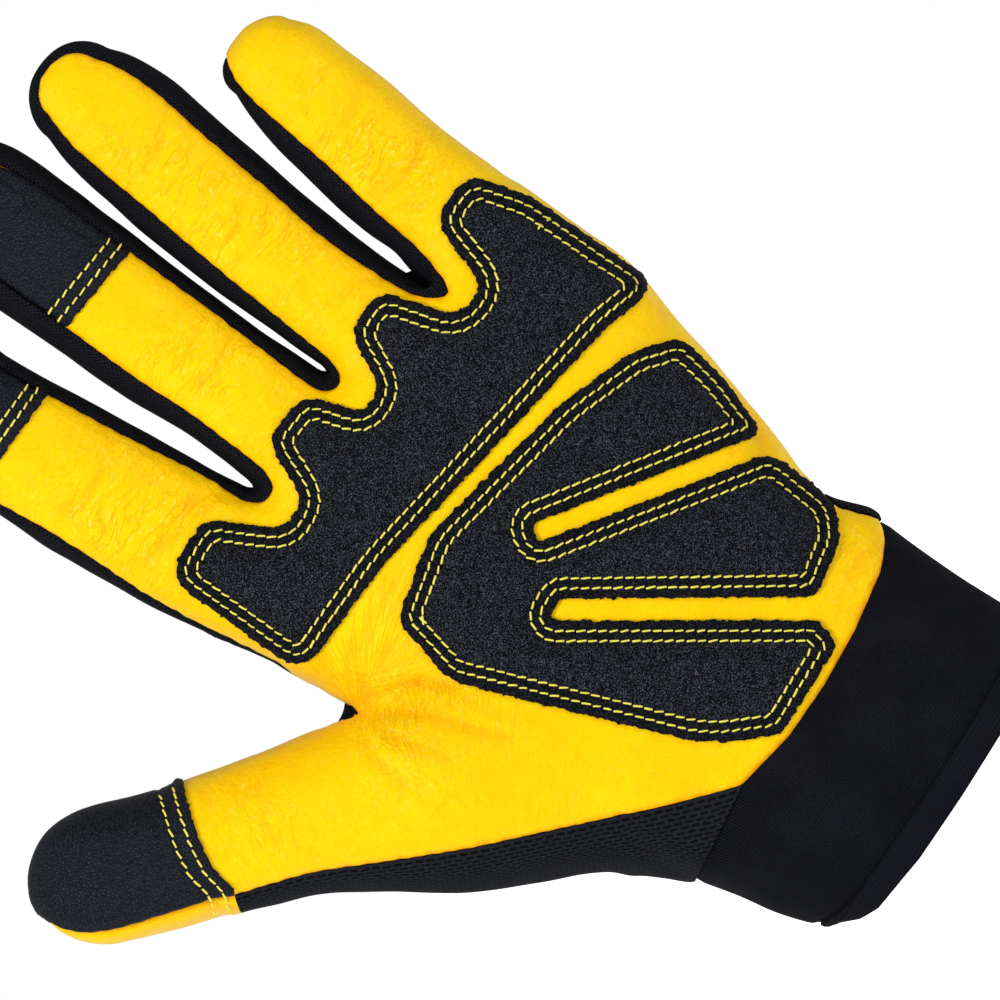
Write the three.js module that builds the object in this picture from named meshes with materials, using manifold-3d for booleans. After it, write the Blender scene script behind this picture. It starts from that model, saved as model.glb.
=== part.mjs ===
// Left-hand work glove with a leather palm, shown as if a hand filled it.
// Frame: +Z along the fingers, -Y out of the palm, -X towards the thumb, +X towards the little finger.
// The origin is the centre of the wrist opening. All sizes are in millimetres.
import * as THREE from 'three';
import { mergeVertices } from 'three/addons/utils/BufferGeometryUtils.js';
import Module from 'manifold-3d';

const wasm = await Module();
wasm.setup();

// Thicknesses and gaps
const LEATHER_WALL = 1.5;
const SEAM_GAP = 0.3;
const PAD_RISE = 2.4;
const CAP_RISE = 1.3;
const CUFF_INSET = 0.5;
const CUFF_WALL = 1.5;
const HEM_RISE = 0.3;

// Fineness of the facets
const PALM_SIDES = 30;
const FINGER_SIDES = 18;
const THUMB_SIDES = 20;
const DOME_RINGS = 3;
const SEAM_STEP = 4.5;
const FINENESS = 0.09;
const INNER_SHARE = 0.62;
const FILLET_STEP = 0.5;

// Body of the hand from the rim of the cuff to the roots of the fingers.
// z: height, left and right: sides, front: palm side, back: back of the hand.
const BODY = [
  { z: -12.0, left: -38.0, right: 34.1, front: -23.0, back: 23.0 },
  { z: 5.0, left: -38.3, right: 34.1, front: -23.0, back: 23.0 },
  { z: 20.0, left: -41.8, right: 34.1, front: -23.0, back: 22.4 },
  { z: 38.0, left: -46.0, right: 34.8, front: -22.4, back: 20.4 },
  { z: 50.0, left: -46.6, right: 31.9, front: -21.6, back: 19.0 },
  { z: 63.0, left: -47.0, right: 36.2, front: -20.8, back: 17.8 },
  { z: 76.0, left: -48.5, right: 40.0, front: -20.0, back: 16.8 },
  { z: 90.0, left: -50.6, right: 43.6, front: -19.0, back: 16.0 },
  { z: 105.0, left: -52.4, right: 47.6, front: -17.8, back: 15.2 },
  { z: 120.0, left: -53.4, right: 47.7, front: -15.8, back: 14.2 },
  { z: 130.0, left: -55.2, right: 48.0, front: -13.4, back: 12.4 },
];
const BODY_TOP = { across: -4.0, along: 139.5, deep: -0.5 };
const BODY_SQUARENESS = 2.5;

// Fingers. seamLeft and seamRight: edges of the palm leather, where the black side pieces begin.
const INDEX = {
  tip: { across: -45.8, along: 212.5, deep: -4.2 },
  seamTip: 209.8,
  rows: [
    { z: 118.0, left: -53.2, right: -27.0, seamLeft: -52.5, front: -13.2, back: 12.0 },
    { z: 136.0, left: -56.5, right: -28.2, seamLeft: -55.0, front: -12.4, back: 11.2 },
    { z: 150.0, left: -58.2, right: -29.7, seamLeft: -56.0, seamRight: -31.3, front: -11.8, back: 10.4 },
    { z: 165.0, left: -59.4, right: -31.1, seamLeft: -56.4, seamRight: -33.3, front: -11.8, back: 9.6 },
    { z: 180.0, left: -59.5, right: -32.2, seamLeft: -57.5, seamRight: -34.7, front: -12.4, back: 8.4 },
    { z: 193.0, left: -58.4, right: -33.2, seamLeft: -56.9, seamRight: -35.8, front: -12.8, back: 7.0 },
    { z: 203.0, left: -56.0, right: -35.4, seamLeft: -54.2, seamRight: -37.6, front: -12.2, back: 5.2 },
  ],
};
const MIDDLE = {
  tip: { across: -12.8, along: 228.5, deep: -4.4 },
  seamTip: 225.8,
  rows: [
    { z: 118.0, left: -28.5, right: -2.6, front: -13.2, back: 12.0 },
    { z: 142.0, left: -27.2, right: -2.5, seamLeft: -23.8, seamRight: -5.6, front: -12.2, back: 11.0 },
    { z: 156.0, left: -26.4, right: -2.4, seamLeft: -23.0, seamRight: -4.9, front: -11.6, back: 10.2 },
    { z: 170.0, left: -27.0, right: -1.6, seamLeft: -22.9, seamRight: -4.1, front: -11.6, back: 9.6 },
    { z: 186.0, left: -27.1, right: -1.1, seamLeft: -22.4, seamRight: -3.8, front: -12.0, back: 8.6 },
    { z: 201.0, left: -26.9, right: -0.5, seamLeft: -22.3, seamRight: -3.5, front: -12.6, back: 7.4 },
    { z: 212.0, left: -25.5, right: -0.4, seamLeft: -21.4, seamRight: -4.0, front: -12.6, back: 6.0 },
    { z: 219.5, left: -22.9, right: -2.2, seamLeft: -19.4, seamRight: -5.8, front: -11.8, back: 4.2 },
  ],
};
const RING = {
  tip: { across: 15.8, along: 218.6, deep: -4.2 },
  seamTip: 216.7,
  rows: [
    { z: 118.0, left: -1.6, right: 23.2, front: -13.0, back: 12.0 },
    { z: 142.0, left: -1.0, right: 22.3, seamLeft: 0.4, seamRight: 19.0, front: -12.0, back: 10.8 },
    { z: 156.0, left: -0.9, right: 23.0, seamLeft: 1.7, seamRight: 19.2, front: -11.4, back: 10.0 },
    { z: 170.0, left: -0.7, right: 24.7, seamLeft: 2.9, seamRight: 20.9, front: -11.4, back: 9.4 },
    { z: 185.0, left: 0.7, right: 26.3, seamLeft: 4.7, seamRight: 22.3, front: -11.8, back: 8.4 },
    { z: 197.0, left: 2.5, right: 27.6, seamLeft: 5.9, seamRight: 23.8, front: -12.2, back: 7.2 },
    { z: 205.0, left: 4.0, right: 27.2, seamLeft: 7.0, seamRight: 23.9, front: -12.2, back: 6.0 },
    { z: 211.5, left: 6.2, right: 25.3, seamLeft: 9.0, seamRight: 22.6, front: -11.4, back: 4.2 },
  ],
};
const LITTLE = {
  tip: { across: 40.6, along: 190.7, deep: -3.4 },
  seamTip: 190.2,
  rows: [
    { z: 112.0, left: 22.0, right: 47.7, front: -12.6, back: 11.4 },
    { z: 137.0, left: 23.0, right: 48.6, seamLeft: 26.8, front: -11.4, back: 10.0 },
    { z: 150.0, left: 24.8, right: 49.3, seamLeft: 28.7, front: -10.8, back: 9.2 },
    { z: 161.0, left: 26.2, right: 50.5, seamLeft: 30.5, front: -10.8, back: 8.4 },
    { z: 171.0, left: 28.0, right: 51.2, seamLeft: 31.8, front: -11.0, back: 7.6 },
    { z: 179.0, left: 30.2, right: 51.7, seamLeft: 32.8, front: -11.0, back: 6.4 },
    { z: 185.0, left: 32.6, right: 49.9, seamLeft: 34.1, front: -10.4, back: 4.6 },
  ],
};
const FINGER_SQUARENESS = 2.3;

// Thumb, measured along its own axis. z: distance along it, left and right: low and high side,
// seamLeft: edge of the palm leather, where the knitted strip begins.
const THUMB_AXIS = { x: -0.76, z: 0.65 };
const THUMB = {
  tip: { across: 25.4, along: 174.2, deep: -7.4 },
  rows: [
    { z: 44.0, left: -6.0, right: 38.0, seamLeft: 9.0, front: -15.0, back: 14.0 },
    { z: 54.0, left: -5.6, right: 40.0, seamLeft: 9.5, front: -19.5, back: 16.0 },
    { z: 66.0, left: -0.6, right: 41.0, seamLeft: 10.1, front: -22.4, back: 15.4 },
    { z: 80.0, left: 1.3, right: 42.0, seamLeft: 10.7, front: -23.2, back: 14.4 },
    { z: 94.0, left: 3.2, right: 42.0, seamLeft: 11.7, front: -22.4, back: 12.2 },
    { z: 107.0, left: 6.9, right: 40.8, seamLeft: 13.3, front: -20.6, back: 9.6 },
    { z: 120.0, left: 10.1, right: 39.4, seamLeft: 14.7, front: -19.0, back: 7.2 },
    { z: 134.0, left: 11.0, right: 38.3, seamLeft: 14.6, front: -18.4, back: 5.8 },
    { z: 148.0, left: 11.0, right: 37.6, seamLeft: 14.8, front: -18.6, back: 5.0 },
    { z: 158.0, left: 11.1, right: 37.5, seamLeft: 14.5, front: -18.6, back: 4.0 },
    { z: 165.0, left: 12.9, right: 36.0, seamLeft: 15.4, front: -18.0, back: 2.6 },
    { z: 169.5, left: 15.9, right: 33.8, seamLeft: 17.8, front: -16.4, back: 0.6 },
  ],
};
const THUMB_SQUARENESS = 2.25;

// Where the front pieces meet the back panel, as a depth
const BACK_SEAM = 4.6;
const BACK_SEAM_LEAN = 0.03;
const BACK_SEAM_LEAN_FROM = 120.0;
const THUMB_SEAM_SHIFT = 6.4;
const THUMB_SEAM_FROM = 92.0;
const THUMB_SEAM_TO = 132.0;
const THUMB_SEAM_SIDE = 48.0;
const THUMB_SEAM_BLEND = 8.0;
const SLAB = { left: -140.0, right: 70.0, low: -30.0, high: 250.0, columns: 18, rows: 22, far: 70.0 };

// Edge of the leather round the webs between the fingers, in the front view, and up from the thumb's crotch
const WEB_INDEX_MIDDLE = [
  { x: -30.4, z: 139.0 },
  { x: -27.6, z: 136.2 },
  { x: -25.0, z: 137.6 },
];
const WEB_MIDDLE_RING = [
  { x: -5.0, z: 138.8 },
  { x: -2.8, z: 137.0 },
  { x: -0.8, z: 138.4 },
];
const WEB_RING_LITTLE = [
  { x: 20.0, z: 133.5 },
  { x: 23.2, z: 129.6 },
  { x: 25.6, z: 132.0 },
];
const CROTCH = [
  { x: -52.0, z: 99.4 },
  { x: -51.2, z: 101.0 },
  { x: -51.6, z: 107.0 },
];
// Where the leather's edge runs off the thumb's tip, and how far it wraps past the two outer sides
const THUMB_SEAM_LOWEST = 40.0;
const THUMB_SEAM_END = [
  { z: 173.0, across: 20.6 },
  { z: 176.5, across: 23.0 },
];
const THUMB_WRAP = [
  { x: -112.0, z: 146.0 },
  { x: -96.0, z: 146.0 },
  { x: -56.6, z: 106.0 },
  { x: -53.9, z: 101.4 },
];
const LITTLE_WRAP = [
  { x: 44.0, z: 196.0 },
  { x: 60.0, z: 196.0 },
  { x: 60.0, z: 56.0 },
  { x: 36.0, z: 52.0 },
];

// Lower edge of the palm leather at the wrist, from the knitted strip to the little-finger side
const WRIST_EDGE = [
  { x: -22.5, z: 31.2 },
  { x: -10.0, z: 29.1 },
  { x: 2.0, z: 29.0 },
  { x: 14.0, z: 30.0 },
  { x: 26.0, z: 32.2 },
  { x: 32.2, z: 35.0 },
  { x: 33.6, z: 37.6 },
  { x: 31.2, z: 45.0 },
  { x: 31.6, z: 50.5 },
];
const CUFF_EDGE_POINTS = 7;
const CUFF_LEFT_TOP = { x: -60.0, z: 26.0 };
const CUFF_RIGHT_TOP = { x: 60.0, z: 34.0 };
const HEM_SEAM = [
  { x: -60.0, z: 2.6 },
  { x: -36.0, z: 1.8 },
  { x: -19.0, z: 0.9 },
  { x: 3.0, z: 0.9 },
  { x: 24.0, z: 2.2 },
  { x: 60.0, z: 3.6 },
];
const RIM = [
  { x: -60.0, z: 0.0 },
  { x: -37.5, z: -0.6 },
  { x: -33.0, z: -1.8 },
  { x: -28.0, z: -3.5 },
  { x: -16.0, z: -4.7 },
  { x: -1.0, z: -4.7 },
  { x: 14.0, z: -4.2 },
  { x: 26.0, z: -3.2 },
  { x: 32.0, z: -1.6 },
  { x: 60.0, z: -0.2 },
];

// Pad across the knuckles: corner positions and corner radii
const KNUCKLE_PAD = [
  { x: -52.6, z: 111.9, radius: 6.0 },
  { x: -51.2, z: 143.9, radius: 6.0 },
  { x: -37.9, z: 144.2, radius: 5.5 },
  { x: -30.9, z: 130.3, radius: 4.5 },
  { x: -24.5, z: 130.6, radius: 4.5 },
  { x: -19.0, z: 142.6, radius: 5.5 },
  { x: -7.6, z: 141.5, radius: 5.5 },
  { x: -4.4, z: 130.1, radius: 4.0 },
  { x: 1.2, z: 130.5, radius: 4.0 },
  { x: 7.0, z: 141.0, radius: 5.5 },
  { x: 18.4, z: 141.6, radius: 5.5 },
  { x: 20.8, z: 125.7, radius: 5.5 },
  { x: 28.3, z: 124.7, radius: 5.5 },
  { x: 33.2, z: 139.6, radius: 6.0 },
  { x: 44.6, z: 139.2, radius: 6.0 },
  { x: 47.8, z: 126.6, radius: 14.0 },
  { x: 47.6, z: 97.0, radius: 4.5 },
  { x: 34.6, z: 100.7, radius: 30.0 },
  { x: -26.9, z: 110.5, radius: 60.0 },
];

// Pad over the heel of the hand, with its two slots
const HEEL_PAD = [
  { x: -33.8, z: 102.8, radius: 5.0 },
  { x: -16.0, z: 106.9, radius: 14.0 },
  { x: 18.2, z: 100.1, radius: 40.0 },
  { x: 34.0, z: 94.3, radius: 14.0 },
  { x: 41.5, z: 88.0, radius: 4.0 },
  { x: 39.8, z: 77.3, radius: 20.0 },
  { x: 35.6, z: 64.8, radius: 2.5 },
  { x: -4.7, z: 92.3, radius: 1.2 },
  { x: -6.7, z: 89.2, radius: 1.2 },
  { x: 32.0, z: 62.3, radius: 2.5 },
  { x: 32.8, z: 58.4, radius: 10.0 },
  { x: 31.6, z: 46.0, radius: 10.0 },
  { x: 26.2, z: 41.6, radius: 4.5 },
  { x: 14.9, z: 39.3, radius: 2.5 },
  { x: -13.2, z: 79.7, radius: 1.1 },
  { x: -18.0, z: 79.5, radius: 1.1 },
  { x: 11.3, z: 36.3, radius: 2.0 },
  { x: 9.3, z: 29.5, radius: 3.0 },
  { x: -11.0, z: 28.9, radius: 4.0 },
  { x: -20.3, z: 41.0, radius: 30.0 },
  { x: -29.3, z: 66.1, radius: 80.0 },
  { x: -37.3, z: 88.1, radius: 5.0 },
];
const PAD_BACK_LIMIT = -1.5;

// Caps: where each begins. The two fingers' edges lean a little, the thumb's bends at its low side.
const CAP_INSET = 0.1;
const INDEX_CAP_EDGE = { from: -62.0, low: 183.4, to: -30.0, high: 182.4 };
const MIDDLE_CAP_EDGE = { from: -29.0, low: 185.6, to: -1.0, high: 183.6 };
const THUMB_CAP_EDGE = [
  { z: 135.8, across: 13.0 },
  { z: 136.0, across: 15.4 },
  { z: 138.4, across: 19.8 },
  { z: 139.6, across: 25.6 },
  { z: 139.9, across: 32.0 },
  { z: 139.6, across: 60.0 },
];

// Black pieces at the sides: where the fingers' begin, where the thumb's ends, and the small wrist corner
const SIDE_PIECES_FROM = 98.0;
const INDEX_STRIP_LEFT = -64.0;
const THUMB_STRIP_RIGHT = -62.0;
const THUMB_STRIP_SIDES = { low: -30.0, high: 32.0 };
const LITTLE_SIDE_END = 44.6;
const STRIP_END = 137.4;
const WRIST_CORNER = { left: 30.0, right: 40.0, low: 26.0, high: 60.0 };

// Plain reach of cutting shapes beyond the glove
const FAR = 80.0;
const THUMB_ROOT = 10.0;
const THUMB_REACH = 190.0;
const FINGER_REACH = 240.0;
const ABOVE_CUFF = [
  { x: FAR, z: 40.0 },
  { x: FAR, z: 250.0 },
  { x: -150.0, z: 250.0 },
  { x: -150.0, z: 26.0 },
];

const lerp = (a, b, t) => a + (b - a) * t;
const signedPower = (value, power) => Math.sign(value) * Math.abs(value) ** power;

function smoothStep(value) {
  const t = Math.min(1, Math.max(0, value));
  return t * t * (3 - 2 * t);
}

// Places a section's own coordinates in the glove: across, along, deep
const upright = (across, along, deep) => [across, deep, along];
const alongThumb = (across, along, deep) => [
  THUMB_AXIS.x * along + THUMB_AXIS.z * across,
  deep,
  THUMB_AXIS.z * along - THUMB_AXIS.x * across,
];

// Closed body from faces, turned the right way out
function solidFrom(positions, faces) {
  const geometry = new THREE.BufferGeometry();
  geometry.setAttribute('position', new THREE.Float32BufferAttribute(positions, 3));
  geometry.setIndex(faces);
  return toManifold(geometry);
}

function toManifold(geometry) {
  const bare = geometry.clone();
  bare.deleteAttribute('normal');
  bare.deleteAttribute('uv');
  const merged = mergeVertices(bare, 1e-4);
  const vertProperties = Float32Array.from(merged.getAttribute('position').array);
  const triVerts = Uint32Array.from(merged.getIndex().array);
  return new wasm.Manifold(new wasm.Mesh({ numProp: 3, vertProperties, triVerts }));
}

// Ring of points of one section, grown outwards by grow
function ring(section, sides, squareness, grow) {
  const points = [];
  const middleAcross = (section.left + section.right) / 2;
  const middleDeep = (section.front + section.back) / 2;
  const halfAcross = (section.right - section.left) / 2 + grow;
  const halfDeep = (section.back - section.front) / 2 + grow;
  for (let i = 0; i < sides; i += 1) {
    const angle = (2 * Math.PI * (i + 0.5)) / sides;
    points.push([
      middleAcross + halfAcross * signedPower(Math.cos(angle), 2 / squareness),
      section.z,
      middleDeep + halfDeep * signedPower(Math.sin(angle), 2 / squareness),
    ]);
  }
  return points;
}

// Sections that round the last row off towards the tip
function domeSections(last, tip, grow) {
  const sections = [];
  for (let k = 1; k <= DOME_RINGS; k += 1) {
    const angle = (Math.PI / 2) * (k / (DOME_RINGS + 1));
    const shrink = Math.cos(angle);
    const centreAcross = lerp((last.left + last.right) / 2, tip.across, 1 - shrink);
    const centreDeep = lerp((last.front + last.back) / 2, tip.deep, 1 - shrink);
    const halfAcross = ((last.right - last.left) / 2) * shrink;
    const halfDeep = ((last.back - last.front) / 2) * shrink;
    sections.push({
      z: last.z + (tip.along + grow - last.z) * Math.sin(angle),
      left: centreAcross - halfAcross - grow * (shrink - 1),
      right: centreAcross + halfAcross + grow * (shrink - 1),
      front: centreDeep - halfDeep - grow * (shrink - 1),
      back: centreDeep + halfDeep + grow * (shrink - 1),
    });
  }
  return sections;
}

// Body through a stack of sections, flat at its root and rounded at its tip
function loft(rows, tip, place, sides, squareness, grow) {
  const sections = [{ ...rows[0], z: rows[0].z + Math.min(0, grow) }, ...rows.slice(1)];
  const all = [...sections, ...domeSections(rows[rows.length - 1], tip, grow)];
  const positions = [];
  for (const section of all) {
    for (const point of ring(section, sides, squareness, grow)) {
      positions.push(...place(point[0], point[1], point[2]));
    }
  }
  const root = all.length * sides;
  const peak = root + 1;
  const first = all[0];
  positions.push(...place((first.left + first.right) / 2, first.z, (first.front + first.back) / 2));
  positions.push(...place(tip.across, tip.along + grow, tip.deep));
  const faces = [];
  for (let i = 0; i < sides; i += 1) {
    const next = (i + 1) % sides;
    faces.push(root, next, i);
    for (let level = 0; level + 1 < all.length; level += 1) {
      const low = level * sides;
      const high = low + sides;
      faces.push(low + i, high + next, high + i, low + i, low + next, high + next);
    }
    const top = (all.length - 1) * sides;
    faces.push(top + i, top + next, peak);
  }
  return solidFrom(positions, faces);
}

// The whole outer form of the glove, grown outwards by grow, with share of the usual facets
function form(grow, share = 1) {
  const facets = (sides) => 2 * Math.round((sides * share) / 2);
  const fingers = [INDEX, MIDDLE, RING, LITTLE].map((finger) => (
    loft(finger.rows, finger.tip, upright, facets(FINGER_SIDES), FINGER_SQUARENESS, grow)
  ));
  const body = loft(BODY, BODY_TOP, upright, facets(PALM_SIDES), BODY_SQUARENESS, grow);
  const thumb = loft(THUMB.rows, THUMB.tip, alongThumb, facets(THUMB_SIDES), THUMB_SQUARENESS, grow);
  return fingers.reduce((sum, finger) => sum.add(finger), body.add(thumb));
}

// Outline drawn in the front view, carried straight through from one depth to another
function prism(outline, from, to) {
  const shape = new THREE.Shape(outline.map((point) => new THREE.Vector2(point.x, point.z)));
  const geometry = new THREE.ExtrudeGeometry(shape, { depth: to - from, bevelEnabled: false });
  geometry.rotateX(Math.PI / 2);
  geometry.translate(0, to, 0);
  return toManifold(geometry);
}

function block(left, right, low, high) {
  return prism([
    { x: left, z: low },
    { x: right, z: low },
    { x: right, z: high },
    { x: left, z: high },
  ], -FAR, FAR);
}

// Smooth line through a few points, with points about step apart
function smoothLine(points, step) {
  const curve = new THREE.SplineCurve(points.map((point) => new THREE.Vector2(point.x, point.z)));
  const count = Math.max(2, Math.round(curve.getLength() / step));
  return curve.getSpacedPoints(count).map((point) => ({ x: point.x, z: point.y }));
}

// Outline with every corner rounded by its own radius
function rounded(corners) {
  const outline = [];
  const count = corners.length;
  corners.forEach((corner, i) => {
    const here = new THREE.Vector2(corner.x, corner.z);
    const before = corners[(i + count - 1) % count];
    const after = corners[(i + 1) % count];
    const back = new THREE.Vector2(before.x, before.z).sub(here);
    const ahead = new THREE.Vector2(after.x, after.z).sub(here);
    const room = 0.49 * Math.min(back.length(), ahead.length());
    back.normalize();
    ahead.normalize();
    const half = Math.acos(Math.max(-1, Math.min(1, back.dot(ahead)))) / 2;
    const cut = Math.min(corner.radius / Math.tan(half), room);
    const steps = Math.max(1, Math.round((Math.PI / 2 - half) / FILLET_STEP) + 1);
    const start = here.clone().addScaledVector(back, cut);
    const end = here.clone().addScaledVector(ahead, cut);
    for (let k = 0; k <= steps; k += 1) {
      const t = k / steps;
      const p = start.clone().multiplyScalar((1 - t) ** 2);
      p.addScaledVector(here, 2 * t * (1 - t)).addScaledVector(end, t * t);
      outline.push({ x: p.x, z: p.y });
    }
  });
  return outline;
}

// Outline moved outwards by distance, or inwards where it is negative
function offset(outline, distance) {
  const count = outline.length;
  let area = 0;
  outline.forEach((point, i) => {
    const next = outline[(i + 1) % count];
    area += point.x * next.z - next.x * point.z;
  });
  const turn = Math.sign(area);
  return outline.map((point, i) => {
    const before = outline[(i + count - 1) % count];
    const after = outline[(i + 1) % count];
    const along = new THREE.Vector2(after.x - before.x, after.z - before.z).normalize();
    return { x: point.x + turn * along.y * distance, z: point.z - turn * along.x * distance };
  });
}

// Depth of the seam between the front pieces and the back panel
function backSeam(x, z) {
  const along = THUMB_AXIS.x * x + THUMB_AXIS.z * z;
  const across = THUMB_AXIS.z * x - THUMB_AXIS.x * z;
  const onThumb = smoothStep((along - THUMB_SEAM_FROM) / (THUMB_SEAM_TO - THUMB_SEAM_FROM));
  const share = onThumb * smoothStep((THUMB_SEAM_SIDE - across) / THUMB_SEAM_BLEND);
  const lean = BACK_SEAM_LEAN * Math.max(0, z - BACK_SEAM_LEAN_FROM);
  return BACK_SEAM - THUMB_SEAM_SHIFT * share - lean * (1 - share);
}

// Everything behind the seam surface, moved back by gap
function behindSeam(gap) {
  const positions = [];
  const faces = [];
  const across = SLAB.columns + 1;
  const layer = across * (SLAB.rows + 1);
  for (const far of [false, true]) {
    for (let r = 0; r <= SLAB.rows; r += 1) {
      for (let c = 0; c <= SLAB.columns; c += 1) {
        const x = lerp(SLAB.left, SLAB.right, c / SLAB.columns);
        const z = lerp(SLAB.low, SLAB.high, r / SLAB.rows);
        positions.push(x, far ? SLAB.far : backSeam(x, z) + gap, z);
      }
    }
  }
  for (let r = 0; r < SLAB.rows; r += 1) {
    for (let c = 0; c < SLAB.columns; c += 1) {
      const a = r * across + c;
      const b = a + 1;
      const d = a + across;
      const e = d + 1;
      faces.push(a, b, e, a, e, d);
      faces.push(layer + a, layer + e, layer + b, layer + a, layer + d, layer + e);
    }
  }
  const wallBetween = (p, q) => faces.push(p, layer + p, layer + q, p, layer + q, q);
  for (let c = 0; c < SLAB.columns; c += 1) {
    const top = SLAB.rows * across;
    wallBetween(c, c + 1);
    wallBetween(top + c + 1, top + c);
  }
  for (let r = 0; r < SLAB.rows; r += 1) {
    wallBetween((r + 1) * across, r * across);
    wallBetween(r * across + SLAB.columns, (r + 1) * across + SLAB.columns);
  }
  return solidFrom(positions, faces);
}

const thumbPoint = (across, along) => {
  const place = alongThumb(across, along, 0);
  return { x: place[0], z: place[2] };
};

// Seam points round one finger's front: up its left edge, over the tip and down its right edge
function fingerSeam(finger) {
  const up = finger.rows.filter((row) => row.seamLeft !== undefined);
  const down = finger.rows.filter((row) => row.seamRight !== undefined).reverse();
  const last = finger.rows[finger.rows.length - 1];
  const over = [];
  if (last.seamRight !== undefined) {
    const centre = (last.seamLeft + last.seamRight) / 2;
    const half = (last.seamRight - last.seamLeft) / 2;
    for (const angle of [45, 90, 135]) {
      const turn = THREE.MathUtils.degToRad(angle);
      over.push({
        x: lerp(centre, finger.tip.across, Math.sin(turn)) - half * Math.cos(turn),
        z: last.z + (finger.seamTip - last.z) * Math.sin(turn),
      });
    }
  } else {
    over.push({ x: finger.tip.across - 3.2, z: finger.seamTip - 0.6 });
    over.push({ x: finger.tip.across, z: finger.seamTip });
  }
  return [
    ...up.map((row) => ({ x: row.seamLeft, z: row.z })),
    ...over,
    ...down.map((row) => ({ x: row.seamRight, z: row.z })),
  ];
}

// Outline of the palm leather in the front view, running past the sides that it wraps
function leatherOutline() {
  const seamRows = THUMB.rows.filter((row) => row.z > THUMB_SEAM_LOWEST);
  const thumbSeam = smoothLine([
    WRIST_EDGE[0],
    ...seamRows.map((row) => thumbPoint(row.seamLeft, row.z)),
    ...THUMB_SEAM_END.map((point) => thumbPoint(point.across, point.z)),
  ], SEAM_STEP);
  const fingerLine = smoothLine([
    ...CROTCH,
    ...fingerSeam(INDEX),
    ...WEB_INDEX_MIDDLE,
    ...fingerSeam(MIDDLE),
    ...WEB_MIDDLE_RING,
    ...fingerSeam(RING),
    ...WEB_RING_LITTLE,
    ...fingerSeam(LITTLE),
  ], SEAM_STEP);
  const wrist = smoothLine([...WRIST_EDGE].reverse(), SEAM_STEP).slice(0, -1);
  return [...thumbSeam, ...THUMB_WRAP, ...fingerLine, ...LITTLE_WRAP, ...wrist];
}

const cuffTop = (gap) => [CUFF_LEFT_TOP, ...WRIST_EDGE.slice(0, CUFF_EDGE_POINTS), CUFF_RIGHT_TOP]
  .map((point) => ({ x: point.x, z: point.z - gap }));

// Band round the wrist between two lines drawn in the front view
const band = (lower, upper) => prism([...lower, ...[...upper].reverse()], -FAR, FAR);

const shifted = (line, rise) => line.map((point) => ({ x: point.x, z: point.z + rise }));

// Region beyond a cap's lower edge, on the thumb and on a finger
function beyondThumbEdge() {
  const edge = THUMB_CAP_EDGE.map((point) => thumbPoint(point.across, point.z));
  const far = [THUMB_CAP_EDGE[THUMB_CAP_EDGE.length - 1], THUMB_CAP_EDGE[0]]
    .map((point) => thumbPoint(point.across, THUMB_REACH));
  return prism([...edge, ...far], -FAR, FAR);
}

function beyondFingerEdge(edge) {
  return prism([
    { x: edge.from, z: edge.low },
    { x: edge.to, z: edge.high },
    { x: edge.to, z: FINGER_REACH },
    { x: edge.from, z: FINGER_REACH },
  ], -FAR, FAR);
}

// Part of the thumb's low side between two places along it
function thumbBlock(from, to) {
  return prism([
    thumbPoint(THUMB_STRIP_SIDES.low, from),
    thumbPoint(THUMB_STRIP_SIDES.low, to),
    thumbPoint(THUMB_STRIP_SIDES.high, to),
    thumbPoint(THUMB_STRIP_SIDES.high, from),
  ], -FAR, FAR);
}

const outer = form(0);
const inner = form(-LEATHER_WALL, INNER_SHARE);
const wall = outer.subtract(inner);
const outline = leatherOutline();
const leatherRegion = prism(outline, -FAR, FAR);
const sideRegion = prism(offset(outline, SEAM_GAP), -FAR, FAR);
const back = behindSeam(SEAM_GAP / 2);
const front = wall.subtract(behindSeam(-SEAM_GAP / 2));
const aboveCuff = prism([...cuffTop(0), ...ABOVE_CUFF], -FAR, FAR);
const sides = front.intersect(aboveCuff).subtract(sideRegion);

const halfGap = SEAM_GAP / 2;
const sidePiece = (left, right) => sides.intersect(
  block(left + halfGap, right - halfGap, SIDE_PIECES_FROM, FINGER_REACH),
);
const thumbStrip = sides.intersect(thumbBlock(THUMB_ROOT, STRIP_END - halfGap))
  .subtract(block(THUMB_STRIP_RIGHT, FAR, SIDE_PIECES_FROM, FINGER_REACH));
const thumbEdge = sides.intersect(thumbBlock(STRIP_END + halfGap, THUMB_REACH));
const wristCorner = wall.intersect(aboveCuff)
  .intersect(block(WRIST_CORNER.left, WRIST_CORNER.right, WRIST_CORNER.low, WRIST_CORNER.high))
  .subtract(sideRegion);

const padSkin = form(PAD_RISE).subtract(form(SEAM_GAP)).subtract(behindSeam(PAD_BACK_LIMIT - BACK_SEAM));
const capSkin = form(CAP_RISE).subtract(form(SEAM_GAP)).subtract(behindSeam(-SEAM_GAP / 2));
const capRegion = capSkin.intersect(prism(offset(outline, -CAP_INSET), -FAR, FAR));
const hemTop = shifted(HEM_SEAM, -SEAM_GAP);

const YELLOW = { color: '#f7c600', roughness: 0.55, metalness: 0.0 };
const BLACK_KNIT = { color: '#17181c', roughness: 0.95, metalness: 0.0 };
const BLACK_PAD = { color: '#1b1d22', roughness: 0.9, metalness: 0.0 };
const BLACK_GRAIN = { color: '#20232a', roughness: 0.6, metalness: 0.0 };

const glove = new THREE.Group();
glove.name = 'mechanic_glove';

// Largest body of a cut, without the crumbs that a cut along a curved edge leaves
const mainBody = (body) => body.decompose().sort((a, b) => b.volume() - a.volume())[0];

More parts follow.
